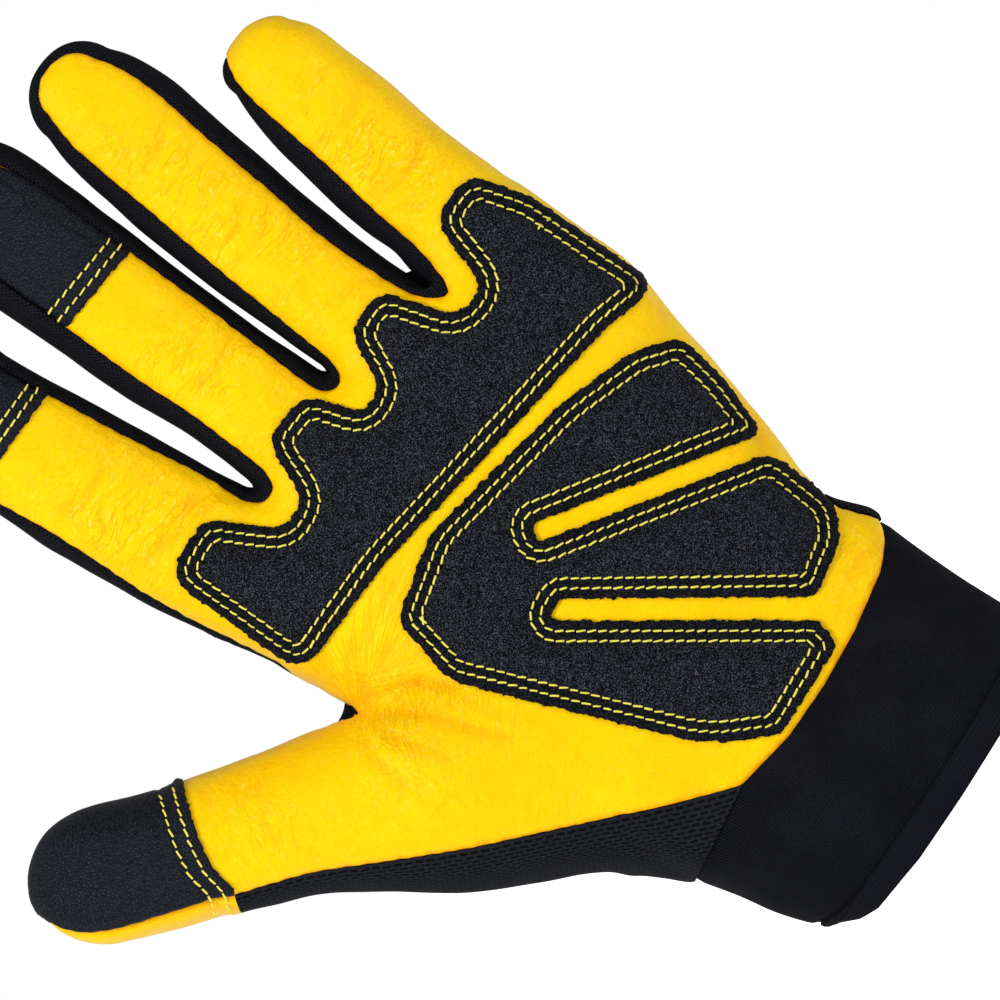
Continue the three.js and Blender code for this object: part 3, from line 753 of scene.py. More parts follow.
@dataclass
class Patch:
    """A sheet of triangles on the form. rest holds each point's place on the bare form."""

    rest: np.ndarray
    normal: np.ndarray
    faces: np.ndarray

    def kept(self) -> Patch:
        """The same patch without points that no triangle uses."""
        used, faces = np.unique(self.faces, return_inverse=True)
        return Patch(self.rest[used], self.normal[used], faces.reshape(-1, 3))

    def clip(self, value: np.ndarray) -> Patch:
        """Cuts the patch along the line where value is zero and keeps the positive side."""
        inside = value > 0
        count = inside[self.faces].sum(1)
        whole = self.faces[count == 3]
        part = self.faces[(count == 1) | (count == 2)]
        state = inside[part]
        single = state.sum(1) == 1
        odd = np.where(single, state.argmax(1), (~state).argmax(1))
        rows = np.arange(len(part))
        a, b, c = part[rows, odd], part[rows, (odd + 1) % 3], part[rows, (odd + 2) % 3]
        pairs = np.vstack([np.column_stack([a, b]), np.column_stack([a, c])])
        keys, back = np.unique(np.sort(pairs, axis=1), axis=0, return_inverse=True)
        back = back.reshape(-1)
        va, vb = value[keys[:, 0]], value[keys[:, 1]]
        t = (va / (va - vb))[:, None]
        rest = self.rest[keys[:, 0]] * (1 - t) + self.rest[keys[:, 1]] * t
        normal = self.normal[keys[:, 0]] * (1 - t) + self.normal[keys[:, 1]] * t
        normal /= np.linalg.norm(normal, axis=1)[:, None]
        ab, ac = back[:len(part)] + len(self.rest), back[len(part):] + len(self.rest)
        one = np.column_stack([a, ab, ac])[single]
        two = np.vstack([np.column_stack([ab, b, c])[~single], np.column_stack([ab, c, ac])[~single]])
        faces = np.vstack([whole, one, two])
        return Patch(np.vstack([self.rest, rest]), np.vstack([self.normal, normal]), faces).kept()

    def split(self) -> Patch:
        """Cuts every triangle into four and lays the new points on the form."""
        f = self.faces
        pairs = np.vstack([f[:, [0, 1]], f[:, [1, 2]], f[:, [2, 0]]])
        keys, back = np.unique(np.sort(pairs, axis=1), axis=0, return_inverse=True)
        back = back.reshape(-1) + len(self.rest)
        m = len(f)
        ab, bc, ca = back[:m], back[m:2 * m], back[2 * m:]
        middle, normal = FORM.project(self.rest[keys].mean(1), 2)
        faces = np.vstack([
            np.column_stack([f[:, 0], ab, ca]), np.column_stack([ab, f[:, 1], bc]),
            np.column_stack([ca, bc, f[:, 2]]), np.column_stack([ab, bc, ca]),
        ])
        return Patch(np.vstack([self.rest, middle]), np.vstack([self.normal, normal]), faces)

    def thickened(self, height: np.ndarray, under: np.ndarray) -> tuple[np.ndarray, np.ndarray]:
        """Closes the patch into a solid sheet.

        Args:
            height: How far the outer face stands off the form, a value a point.
            under: How far the inner face does.

        Returns:
            The points and the triangles, outer face first.
        """
        outer = self.rest + self.normal * height[:, None]
        inner = self.rest + self.normal * under[:, None]
        n = len(outer)
        f = self.faces
        edges = np.vstack([f[:, [0, 1]], f[:, [1, 2]], f[:, [2, 0]]])
        key = np.sort(edges, axis=1)
        _, index, count = np.unique(key, axis=0, return_index=True, return_counts=True)
        start, end = edges[index[count == 1]].T
        walls = np.vstack([
            np.column_stack([end, start, start + n]),
            np.column_stack([end, start + n, end + n]),
        ])
        return np.vstack([outer, inner]), np.vstack([f, f[:, ::-1] + n, walls])


def dress(
    name: str, points: np.ndarray, faces: np.ndarray, material: bpy.types.Material,
    attributes: dict[str, np.ndarray] | None = None, crease_angle: float = 42.0,
) -> bpy.types.Object:
    """Makes a smooth-shaded object from points in millimetres.

    Args:
        name: The object's name.
        points: Its points, in millimetres: those of the outer face, then as many of the inner face.
        faces: Its triangles.
        material: What it is made of.
        attributes: Values for the points of one face, by name. The other face gets the same.
        crease_angle: Edges sharper than this many degrees stay sharp.

    Returns:
        The new object.
    """
    mesh = bpy.data.meshes.new(name)
    mesh.vertices.add(len(points))
    mesh.vertices.foreach_set("co", (points * MM).astype(np.float32).ravel())
    mesh.loops.add(len(faces) * 3)
    mesh.loops.foreach_set("vertex_index", faces.astype(np.int32).ravel())
    mesh.polygons.add(len(faces))
    mesh.polygons.foreach_set("loop_start", np.arange(0, len(faces) * 3, 3, dtype=np.int32))
    mesh.update(calc_edges=True)
    mesh.validate()
    mesh.shade_smooth()
    mesh.set_sharp_from_angle(angle=math.radians(crease_angle))
    for key, values in (attributes or {}).items():
        layer = mesh.attributes.new(key, "FLOAT", "POINT")
        layer.data.foreach_set("value", np.tile(values, 2).astype(np.float32))
    mesh.materials.append(material)
    obj = bpy.data.objects.new(name, mesh)
    bpy.context.scene.collection.objects.link(obj)
    return obj


IN_FRONT = -32.0
SEARCH_STEPS = 40


def on_front(x: np.ndarray, z: np.ndarray, lift: float = 0.0) -> tuple[np.ndarray, np.ndarray]:
    """Finds the palm side of the form under points of the front view.

    Args:
        x: Across in the front view, a value a point.
        z: Up in the front view, a value a point.
        lift: The height over the form at which the points are seen.

    Returns:
        The points on the form and the outward normals there.
    """
    aim = np.column_stack([x, z])
    target = aim.copy()
    for _ in range(3 if lift else 1):
        depth = np.full(len(x), IN_FRONT)
        for _ in range(SEARCH_STEPS):
            points = VIEW.behind(aim, depth)
            depth = depth + np.clip(FORM.value(points) * 0.85, -1.0, 4.0)
        points = VIEW.behind(aim, depth)
        slope = FORM.slope(points, 0.3)
        normal = slope / np.linalg.norm(slope, axis=1)[:, None]
        aim = aim + target - np.column_stack(VIEW.seen(points + normal * lift))
    return points, normal


def inset_line(outline: np.ndarray, distance: float, step: float = 0.5) -> np.ndarray:
    """A closed line inside an outline, everywhere the same distance from it."""
    line = respaced(outline, 0.4)[:-1]
    tangent = np.roll(line, -1, axis=0) - np.roll(line, 1, axis=0)
    tangent /= np.linalg.norm(tangent, axis=1)[:, None]
    area = np.sum(line[:, 0] * np.roll(line[:, 1], -1) - np.roll(line[:, 0], -1) * line[:, 1])
    moved = line + np.sign(area) * distance * np.column_stack([-tangent[:, 1], tangent[:, 0]])
    gap = outline_distance(line, moved[:, 0], moved[:, 1])[0]
    moved = moved[gap > distance - 0.08]
    return respaced(np.vstack([moved, moved[:1]]), step)


@dataclass(frozen=True)
class Fold:
    """A crease of the leather in the front view, through three points, with its depth and width."""

    path: Line
    depth: float
    width: float


def read_folds(table: str) -> tuple[Fold, ...]:
    """Reads folds, one a line: depth, width, then x and z of each point that it runs through."""
    folds = []
    for line in table.strip().splitlines():
        v = [float(word) for word in line.split()]
        folds.append(Fold(tuple(zip(v[2::2], v[3::2])), v[0], v[1]))
    return tuple(folds)


FOLDS = read_folds("""
0.7 1.1 -51 99 -46 97 -40.5 92 -37.5 86
0.35 1.2 -51 98 -47 92 -43 82 -39 70
0.3 1.2 -52 98 -52 90 -49 80
0.25 1.0 -51 99 -43 99 -36 95 -33 90
0.25 1.0 -50 100 -42 104 -31 107 -20 108.5
0.35 1.4 -50 100 -44 101 -37 100
0.35 1.4 -50 101 -45 105 -38 108
0.3 1.3 -54 98 -58 90 -58 80
0.35 1.5 -56 167 -45 165 -35 167
0.3 1.4 -55 149 -44 147 -33 148
0.35 1.5 -22 160 -13 158 -5 160
0.25 1.3 -22 165 -13 164 -5 166
0.3 1.4 3 167 11 165 20 167
0.25 1.2 3 171 11 170 20 172
0.3 1.4 6 192 14 191 22 193
0.3 1.4 30 151 38 149 47 151
0.3 1.4 32 166 40 164 49 166
0.3 1.3 30 148 36 142 37 141
0.3 1.3 -31 141 -34 146 -40 149
0.3 1.3 19 141 15 145 9 146
0.3 1.4 34 34 26 36 20 37
0.45 1.8 32 62 36 68 39 74
0.3 1.5 42 92 46 96 48 98
""")


@dataclass(frozen=True)
class Relief:
    """Heights over the bare form: seam valleys, folds and the soft unevenness of worn cloth."""

    valley: tuple[float, float] = (0.6, 0.7)
    puff_place: float = 2.6
    puff: tuple[float, float] = (0.2, 1.7)
    pucker_place: float = 1.2
    pucker: tuple[float, float] = (0.1, 1.8)
    pucker_pitches: tuple[float, float] = (3.4, 5.3)
    soft_height: float = 0.22
    small_height: float = 0.07
    turned_edge: float = 0.4
    behind: float = 30.0
    flattest: float = 0.06
    outline: np.ndarray = field(default_factory=leather_outline)
    soft: Noise = field(default_factory=lambda: Noise(SEED, 26.0))
    small: Noise = field(default_factory=lambda: Noise(SEED + 1, 9.0))

    def outline_gap(self, patch: Patch) -> tuple[np.ndarray, np.ndarray]:
        """Distance inside the leather's edge, measured along the surface, and the place along the edge."""
        x, z = VIEW.seen(patch.rest)
        gap, place, toward = outline_distance(self.outline, x, z)
        lean = patch.normal[:, 0] * toward[:, 0] + patch.normal[:, 2] * toward[:, 1]
        gap = (gap + self.turned_edge) / np.sqrt(np.maximum(1 - lean * lean, self.flattest))
        turned_away = smooth_step(patch.normal[:, 1] / 0.35)
        sewn_sides = smooth_step((x - FINGERS_FROM[0]) / 0.5) * smooth_step((37.5 - x) / 2.0)
        sewn_sides *= smooth_step((z - FINGERS_FROM[1]) / 4.0)
        return gap - self.behind * turned_away * sewn_sides, place

    def back_gap(self, patch: Patch) -> np.ndarray:
        """Distance behind the back seam measured along the surface."""
        gap = patch.rest[:, 1] - back_seam(patch.rest)
        return gap / np.sqrt(np.maximum(1 - patch.normal[:, 1] ** 2, self.flattest))

    def cuff_gap(self, patch: Patch) -> np.ndarray:
        """Height above the top of the cuff."""
        x, z = VIEW.seen(patch.rest)
        return z - cuff_top(x) + self.turned_edge

    def valleys(self, gap: np.ndarray, place: np.ndarray | None = None) -> np.ndarray:
        """Height beside a seam: a valley along it, a soft rise next to it and small puckers across it."""
        g = np.abs(gap)
        height = hump(g - self.puff_place, self.puff) - hump(g, self.valley)
        if place is not None:
            short, long = self.pucker_pitches
            wave = np.sin(place * 2 * np.pi / short + 1.7 * np.sin(place / 5.1))
            wave += 0.6 * np.sin(place * 2 * np.pi / long + 1.0)
            height += wave * hump(g - self.pucker_place, self.pucker)
        return height

    def folds(self, patch: Patch) -> np.ndarray:
        """Depth of the leather's creases, zero on the back."""
        height = np.zeros(len(patch.rest))
        x, z = VIEW.seen(patch.rest)
        front = smooth_step((-patch.normal[:, 1] - 0.1) / 0.3)
        for fold in FOLDS:
            line = catmull(np.array(fold.path), 0.8)
            reach = 4 * fold.width
            near = np.flatnonzero((x > line[:, 0].min() - reach) & (x < line[:, 0].max() + reach)
                                  & (z > line[:, 1].min() - reach) & (z < line[:, 1].max() + reach))
            if not len(near):
                continue
            gap = np.sqrt(((np.column_stack([x[near], z[near]])[:, None] - line) ** 2).sum(2))
            best = gap.argmin(1)
            d = gap[np.arange(len(near)), best]
            fade = np.sin(np.pi * np.clip((best + 0.5) / len(line), 0.03, 0.97)) ** 0.5
            shape = 0.45 * bell(d - 1.9 * fold.width, fold.width) - bell(d, fold.width)
            height[near] += fade * fold.depth * shape
        return height * front

    def unevenness(self, patch: Patch) -> np.ndarray:
        """Broad and small soft lumps."""
        return self.soft_height * self.soft(patch.rest) + self.small_height * self.small(patch.rest)


def cuff_top(x: np.ndarray) -> np.ndarray:
    """Height of the cuff's upper edge across the front view."""
    line = np.vstack([[-60.0, 26.0], WRIST_EDGE[:7], [60.0, 34.0]])
    return np.interp(x, line[:, 0], line[:, 1])


class Cells(Enum):
    """What a cell texture measures."""

    CENTRE = "F1"
    SOFT_CENTRE = "SMOOTH_F1"
    EDGE = "DISTANCE_TO_EDGE"


class Graph:
    """A short way to write a node tree."""

    def __init__(self, tree: bpy.types.NodeTree) -> None:
        """Takes the tree to write into."""
        self.tree = tree

    def add(
        self, kind: str, inputs: dict[str | int, object] | None = None, **settings: object,
    ) -> bpy.types.Node:
        """Adds a node.

        Args:
            kind: The node's type name.
            inputs: A value or an output socket for each input, by name or by number.
            settings: The node's own properties.

        Returns:
            The new node.
        """
        node = self.tree.nodes.new(kind)
        for key, value in settings.items():
            setattr(node, key, value)
        for key, value in (inputs or {}).items():
            socket = node.inputs[key]
            if isinstance(value, Socket):
                self.tree.links.new(value, socket)
            else:
                socket.default_value = value
        return node

    def link(self, node: bpy.types.Node, inputs: dict[str, Socket]) -> None:
        """Joins sockets to a node's inputs, by name."""
        for key, value in inputs.items():
            self.tree.links.new(value, node.inputs[key])

    def flow(self) -> Socket:
        """Coordinates that follow the hand, in millimetres."""
        return self.joined(*(attribute(self, name) for name in ("across", "along", "deep")))

    def joined(self, x: object = 0.0, y: object = 0.0, z: object = 0.0) -> Socket:
        """Joins three numbers into a vector."""
        return self.add("ShaderNodeCombineXYZ", {"X": x, "Y": y, "Z": z}).outputs[0]

    def math(self, operation: str, *values: object) -> Socket:
        """Adds a math node and returns its result."""
        return self.add("ShaderNodeMath", dict(enumerate(values)), operation=operation).outputs[0]

    def ramp(
        self, value: Socket, low: float, high: float, to_low: float = 0.0, to_high: float = 1.0,
    ) -> Socket:
        """Maps a value from one range to another and clamps it."""
        ends = {"From Min": low, "From Max": high, "To Min": to_low, "To Max": to_high}
        return self.add("ShaderNodeMapRange", {"Value": value, **ends}).outputs["Result"]

    def lines(self, noise: Socket, width: float) -> Socket:
        """Turns a noise into thin wavering lines: 1 where it passes its middle, 0 beyond a width."""
        return self.ramp(self.math("ABSOLUTE", self.math("SUBTRACT", noise, 0.5)), 0.0, width, 1.0, 0.0)

    def mix(self, factor: object, a: object, b: object) -> Socket:
        """Mixes two colours."""
        node = self.tree.nodes.new("ShaderNodeMix")
        node.data_type = "RGBA"
        for socket, value in ((node.inputs[0], factor), (node.inputs[6], a), (node.inputs[7], b)):
            if isinstance(value, Socket):
                self.tree.links.new(value, socket)
            else:
                socket.default_value = value
        return node.outputs[2]

    def scaled(self, coordinates: Socket, x: float, y: float, z: float) -> Socket:
        """Stretches coordinates along each axis."""
        return self.add("ShaderNodeMapping", {"Vector": coordinates, "Scale": (x, y, z)}).outputs[0]

    def noise(
        self, coordinates: Socket, scale: float, detail: float = 2.0, roughness: float = 0.5,
    ) -> Socket:
        """Adds a noise texture and returns its value."""
        inputs = {"Vector": coordinates, "Scale": scale, "Detail": detail, "Roughness": roughness}
        return self.add("ShaderNodeTexNoise", inputs).outputs[0]

    def cells(
        self, coordinates: Socket, scale: float, kind: Cells = Cells.CENTRE, smoothness: float = 0.3,
    ) -> Socket:
        """Adds a cell texture and returns the distance in it."""
        inputs = {"Vector": coordinates, "Scale": scale}
        if kind is Cells.SOFT_CENTRE:
            inputs["Smoothness"] = smoothness
        return self.add("ShaderNodeTexVoronoi", inputs, feature=kind.value).outputs["Distance"]


def shader_graph(name: str) -> tuple[bpy.types.Material, Graph, Socket, bpy.types.Node]:
    """Starts a material.

    Args:
        name: The material's name.

    Returns:
        The material, its graph, object coordinates in millimetres, and its surface node.
    """
    material = bpy.data.materials.new(name)
    material.use_nodes = True
    graph = Graph(material.node_tree)
    surface = material.node_tree.nodes["Principled BSDF"]
    where = graph.add("ShaderNodeTexCoord").outputs["Object"]
    return material, graph, graph.scaled(where, 1000.0, 1000.0, 1000.0), surface


def attribute(graph: Graph, name: str) -> Socket:
    """Reads a value stored on the mesh."""
    return graph.add("ShaderNodeAttribute", attribute_name=name).outputs["Fac"]


def bumped(graph: Graph, height: Socket, distance: float, below: Socket | None = None) -> Socket:
    """Turns a height from 0 to 1 into a normal, distance in millimetres."""
    inputs = {"Height": height, "Distance": distance * MM, "Strength": 1.0}
    if below is not None:
        inputs["Normal"] = below
    return graph.add("ShaderNodeBump", inputs).outputs[0]


def matte(material: bpy.types.Material, roughness: float, specular: float) -> bpy.types.Material:
    """Sets how rough and how shiny a material is."""
    surface = material.node_tree.nodes["Principled BSDF"]
    surface.inputs["Roughness"].default_value = roughness
    surface.inputs["Specular IOR Level"].default_value = specular
    return material


@dataclass(frozen=True)
class YellowLeather:
    """Soft yellow grain leather with pores and fine creases across the digits, with painted shade in its
    creases and seam valleys and painted highlights as pale glints.
    """

    color: Color = (1.0, 0.565, 0.0, 1.0)
    painted_shade_color: Color = (0.92, 0.31, 0.0, 1.0)
    pale_color: Color = (1.0, 0.665, 0.001, 1.0)
    glint_color: Color = (1.0, 0.8, 0.09, 1.0)
    speck_color: Color = (0.2, 0.11, 0.01, 1.0)
    sheen_tint: Color = (1.0, 0.82, 0.25, 1.0)
    specular: float = 0.22
    roughness: float = 0.4
    crease_depth: float = 0.075
    grain_depth: float = 0.035

    def build(self) -> bpy.types.Material:
        """Makes the material."""
        material, g, where, surface = shader_graph("yellow_leather")
        flow = g.flow()
        warp = g.add("ShaderNodeTexNoise", {"Vector": flow, "Scale": 0.09, "Detail": 1.0}).outputs["Color"]
        shift = g.add("ShaderNodeVectorMath", {0: warp, "Scale": 6.5}, operation="SCALE").outputs[0]
        bent = g.add("ShaderNodeVectorMath", {0: flow, 1: shift}, operation="ADD").outputs[0]
        creases = g.lines(g.noise(g.scaled(bent, 0.11, 0.42, 0.11), 1.0, 4.0, 0.62), 0.035)
        patchy = g.ramp(g.noise(where, 0.07, 3.0, 0.6), 0.38, 0.58, 0.3, 1.0)
        # This patchy strength scales the crease relief, the painted shade in the creases and the painted
        # glints.
        patchy_strength = g.math("MULTIPLY", patchy, attribute(g, "wrinkle"))
        fan = g.joined(attribute(g, "fan"), attribute(g, "reach"))
        rays = g.lines(g.noise(fan, 0.8, 2.0), 0.06)
        rays = g.math("MULTIPLY", rays, attribute(g, "rays"))
        crease = g.math("MAXIMUM", g.math("MULTIPLY", creases, patchy_strength), rays)
        # Painted shade: the creases, the crotch rays and the seam valleys are darkened towards the deep
        # orange colour.
        hollows = g.math("MULTIPLY", attribute(g, "hollow"), 0.8)
        dark = g.math("MULTIPLY_ADD", crease, 0.36, hollows)
        broad = g.math("MULTIPLY", g.noise(where, 0.05, 2.0), 0.5)
        mottle = g.math("MULTIPLY_ADD", g.noise(where, 0.4, 4.0, 0.7), 0.5, broad)
        shade = g.mix(g.ramp(mottle, 0.36, 0.64), self.color, self.pale_color)
        # Painted highlights: pale glints mixed into the colour where the leather is creased.
        glints = g.noise(g.scaled(bent, 0.7, 1.3, 0.7), 1.0, 3.0, 0.7)
        glints = g.math("MULTIPLY", g.ramp(glints, 0.56, 0.7, 0.0, 0.75), patchy_strength)
        shade = g.mix(glints, shade, self.glint_color)
        shade = g.mix(g.math("MINIMUM", dark, 1.0), shade, self.painted_shade_color)
        specks = g.ramp(g.cells(where, 0.17), 0.0, 0.035, 0.75, 0.0)
        shade = g.mix(specks, shade, self.speck_color)
        pores = g.ramp(g.cells(where, 1.05, Cells.SOFT_CENTRE, 0.35), 0.0, 0.7)
        plates = g.ramp(g.cells(where, 0.75, Cells.EDGE), 0.0, 0.3)
        normal = bumped(g, g.math("SUBTRACT", 1.0, crease), self.crease_depth)
        normal = bumped(g, pores, self.grain_depth, normal)
        normal = bumped(g, plates, self.grain_depth, normal)
        normal = bumped(g, g.noise(where, 0.45, 4.0, 0.6), 0.22, normal)
        gloss = g.ramp(g.noise(where, 0.3, 3.0), 0.3, 0.7, self.roughness - 0.08, self.roughness + 0.12)
        g.link(surface, {"Base Color": shade, "Normal": normal, "Roughness": gloss})
        surface.inputs["Specular Tint"].default_value = self.sheen_tint
        surface.inputs["Specular IOR Level"].default_value = self.specular
        return material


@dataclass(frozen=True)
class BlackKnit:
    """Matte black knit: rows of loops with dark openings between them, staggered from row to row."""

    color: Color = (0.0125, 0.0135, 0.018, 1.0)
    gap_color: Color = (0.0008, 0.0008, 0.0012, 1.0)
    loop: float = 0.95
    depth: float = 0.16

    def build(self) -> bpy.types.Material:
        """Makes the material."""
        material, g, where, surface = shader_graph("black_knit")
        stray = g.math("MULTIPLY", g.math("SUBTRACT", g.noise(where, 0.7, 2.0), 0.5), 5.0)
        turns = 2 * math.pi / self.loop
        courses = g.math("SINE", g.math("MULTIPLY_ADD", attribute(g, "along"), turns, stray))
        wales = g.math("SINE", g.math("MULTIPLY_ADD", attribute(g, "girth"), turns, stray))
        height = g.math("MULTIPLY_ADD", g.math("MULTIPLY", courses, wales), 0.5, 0.5)
        fuzz = g.noise(where, 3.2, 2.0, 0.8)
        yarn = g.math("MULTIPLY", height, g.ramp(fuzz, 0.35, 0.6, 0.3, 1.5))
        shade = g.mix(g.ramp(yarn, 0.1, 0.8), self.gap_color, self.color)
        normal = bumped(g, height, self.depth)
        g.link(surface, {"Base Color": shade, "Normal": normal})
        return matte(material, 0.9, 0.06)


@dataclass(frozen=True)
class MeshKnit:
    """Black open mesh: ribs with a row of short slots between them, each row half a slot on from the last."""

    color: Color = (0.0165, 0.019, 0.026, 1.0)
    slot_color: Color = (0.0006, 0.0006, 0.001, 1.0)
    pitch: float = 2.1
    row: float = 1.05
    depth: float = 0.3

    def build(self) -> bpy.types.Material:
        """Makes the material."""
        material, g, where, surface = shader_graph("black_mesh_knit")
        stray = g.math("MULTIPLY", g.noise(where, 0.3, 2.0), 0.8)
        across = g.math("ADD", g.math("DIVIDE", attribute(g, "girth"), self.row), stray)
        along = g.math("DIVIDE", attribute(g, "along"), self.pitch)
        shifted = g.math("MULTIPLY_ADD", g.math("FLOOR", across), 0.5, along)
        end = g.math("ABSOLUTE", g.math("SUBTRACT", g.math("FRACT", shifted), 0.5))
        side = g.math("ABSOLUTE", g.math("SUBTRACT", g.math("FRACT", across), 0.5))
        solid = g.math("MAXIMUM", g.ramp(end, 0.28, 0.4), g.ramp(side, 0.08, 0.3))
        fuzz = g.noise(where, 3.0, 2.0, 0.8)
        yarn = g.math("MULTIPLY", solid, g.ramp(fuzz, 0.3, 0.65, 0.3, 1.0))
        shade = g.mix(yarn, self.slot_color, self.color)
        normal = bumped(g, solid, self.depth)
        g.link(surface, {"Base Color": shade, "Normal": normal})
        return matte(material, 0.85, 0.08)


@dataclass(frozen=True)
class PadFabric:
    """Black patch fabric with a sand-like grain, and painted shade on its stitched border."""

    color: Color = (0.0012, 0.0013, 0.002, 1.0)
    grit_color: Color = (0.071, 0.079, 0.108, 1.0)

    def build(self) -> bpy.types.Material:
        """Makes the material."""
        material, g, where, surface = shader_graph("pad_fabric")
        grains = g.math("MULTIPLY_ADD", g.noise(where, 0.8, 2.0), 0.1, g.noise(where, 3.5, 1.5, 0.8))
        shade = g.mix(g.ramp(grains, 0.56, 0.69), self.color, self.grit_color)
        # Painted shade: the border outside the padded crown is darkened.
        shade = g.mix(g.math("MULTIPLY", attribute(g, "border"), 0.55), shade, self.color)
        normal = bumped(g, g.ramp(grains, 0.4, 0.8), 0.2)
        g.link(surface, {"Base Color": shade, "Normal": normal})
        return matte(material, 0.75, 0.08)


@dataclass(frozen=True)
class GrainedLeather:
    """Black leather with raised pebbles, painted shade in the fine creases between them and a slight sheen.
    """

    color: Color = (0.0158, 0.019, 0.0272, 1.0)
    crease_shade_color: Color = (0.0008, 0.0008, 0.0012, 1.0)
    sheen_tint: Color = (0.75, 0.86, 1.0, 1.0)
    pebble: float = 0.6

    def build(self) -> bpy.types.Material:
        """Makes the material."""
        material, g, where, surface = shader_graph("grained_leather")
        height = g.ramp(g.cells(where, 1.0 / self.pebble, Cells.EDGE), 0.0, 0.3)
        # Painted shade: the creases between the pebbles take the darker colour.
        shade = g.mix(height, self.crease_shade_color, self.color)
        normal = bumped(g, height, 0.1)
        normal = bumped(g, g.noise(where, 0.3, 3.0, 0.6), 0.2, normal)
        g.link(surface, {"Base Color": shade, "Normal": normal})
        surface.inputs["Specular Tint"].default_value = self.sheen_tint
        return matte(material, 0.48, 0.14)


@dataclass(frozen=True)
class RibbedFabric:
    """Black stretch fabric with fine ribs, along the arm or round it, with painted shade in the grooves and
    painted highlight on the rib tops.
    """

    name: str
    pitch: float
    round_the_arm: bool = False
    color: Color = (0.0135, 0.0155, 0.0225, 1.0)
    groove_shade_color: Color = (0.0012, 0.0013, 0.002, 1.0)

    def build(self) -> bpy.types.Material:
        """Makes the material."""
        material, g, where, surface = shader_graph(self.name)
        across = attribute(g, "along" if self.round_the_arm else "girth")
        ribs = g.math("SINE", g.math("MULTIPLY", across, 2 * math.pi / self.pitch))
        height = g.math("MULTIPLY_ADD", ribs, 0.5, 0.5)
        fuzz = g.noise(where, 2.6, 3.0, 0.8)
        # Painted highlight on the rib tops, in patches, and painted shade in the grooves between them.
        patchy_strength = g.ramp(g.noise(where, 0.09, 3.0), 0.35, 0.7, 0.6, 1.0)
        lit = g.math("MULTIPLY", g.math("MULTIPLY", height, patchy_strength), g.ramp(fuzz, 0.35, 0.65, 0.5, 1.3))
        normal = bumped(g, height, 0.1)
        g.link(surface, {"Base Color": g.mix(lit, self.groove_shade_color, self.color), "Normal": normal})
        return matte(material, 0.85, 0.06)


@dataclass(frozen=True)
class Thread:
    """Smooth yellow sewing thread."""

    color: Color = (0.86, 0.76, 0.1, 1.0)

    def build(self) -> bpy.types.Material:
        """Makes the material."""
        material, g, where, surface = shader_graph("yellow_thread")
        g.tree.links.new(bumped(g, g.noise(where, 6.0, 1.0), 0.05), surface.inputs["Normal"])
        surface.inputs["Base Color"].default_value = self.color
        surface.inputs["Roughness"].default_value = 0.5
        return material


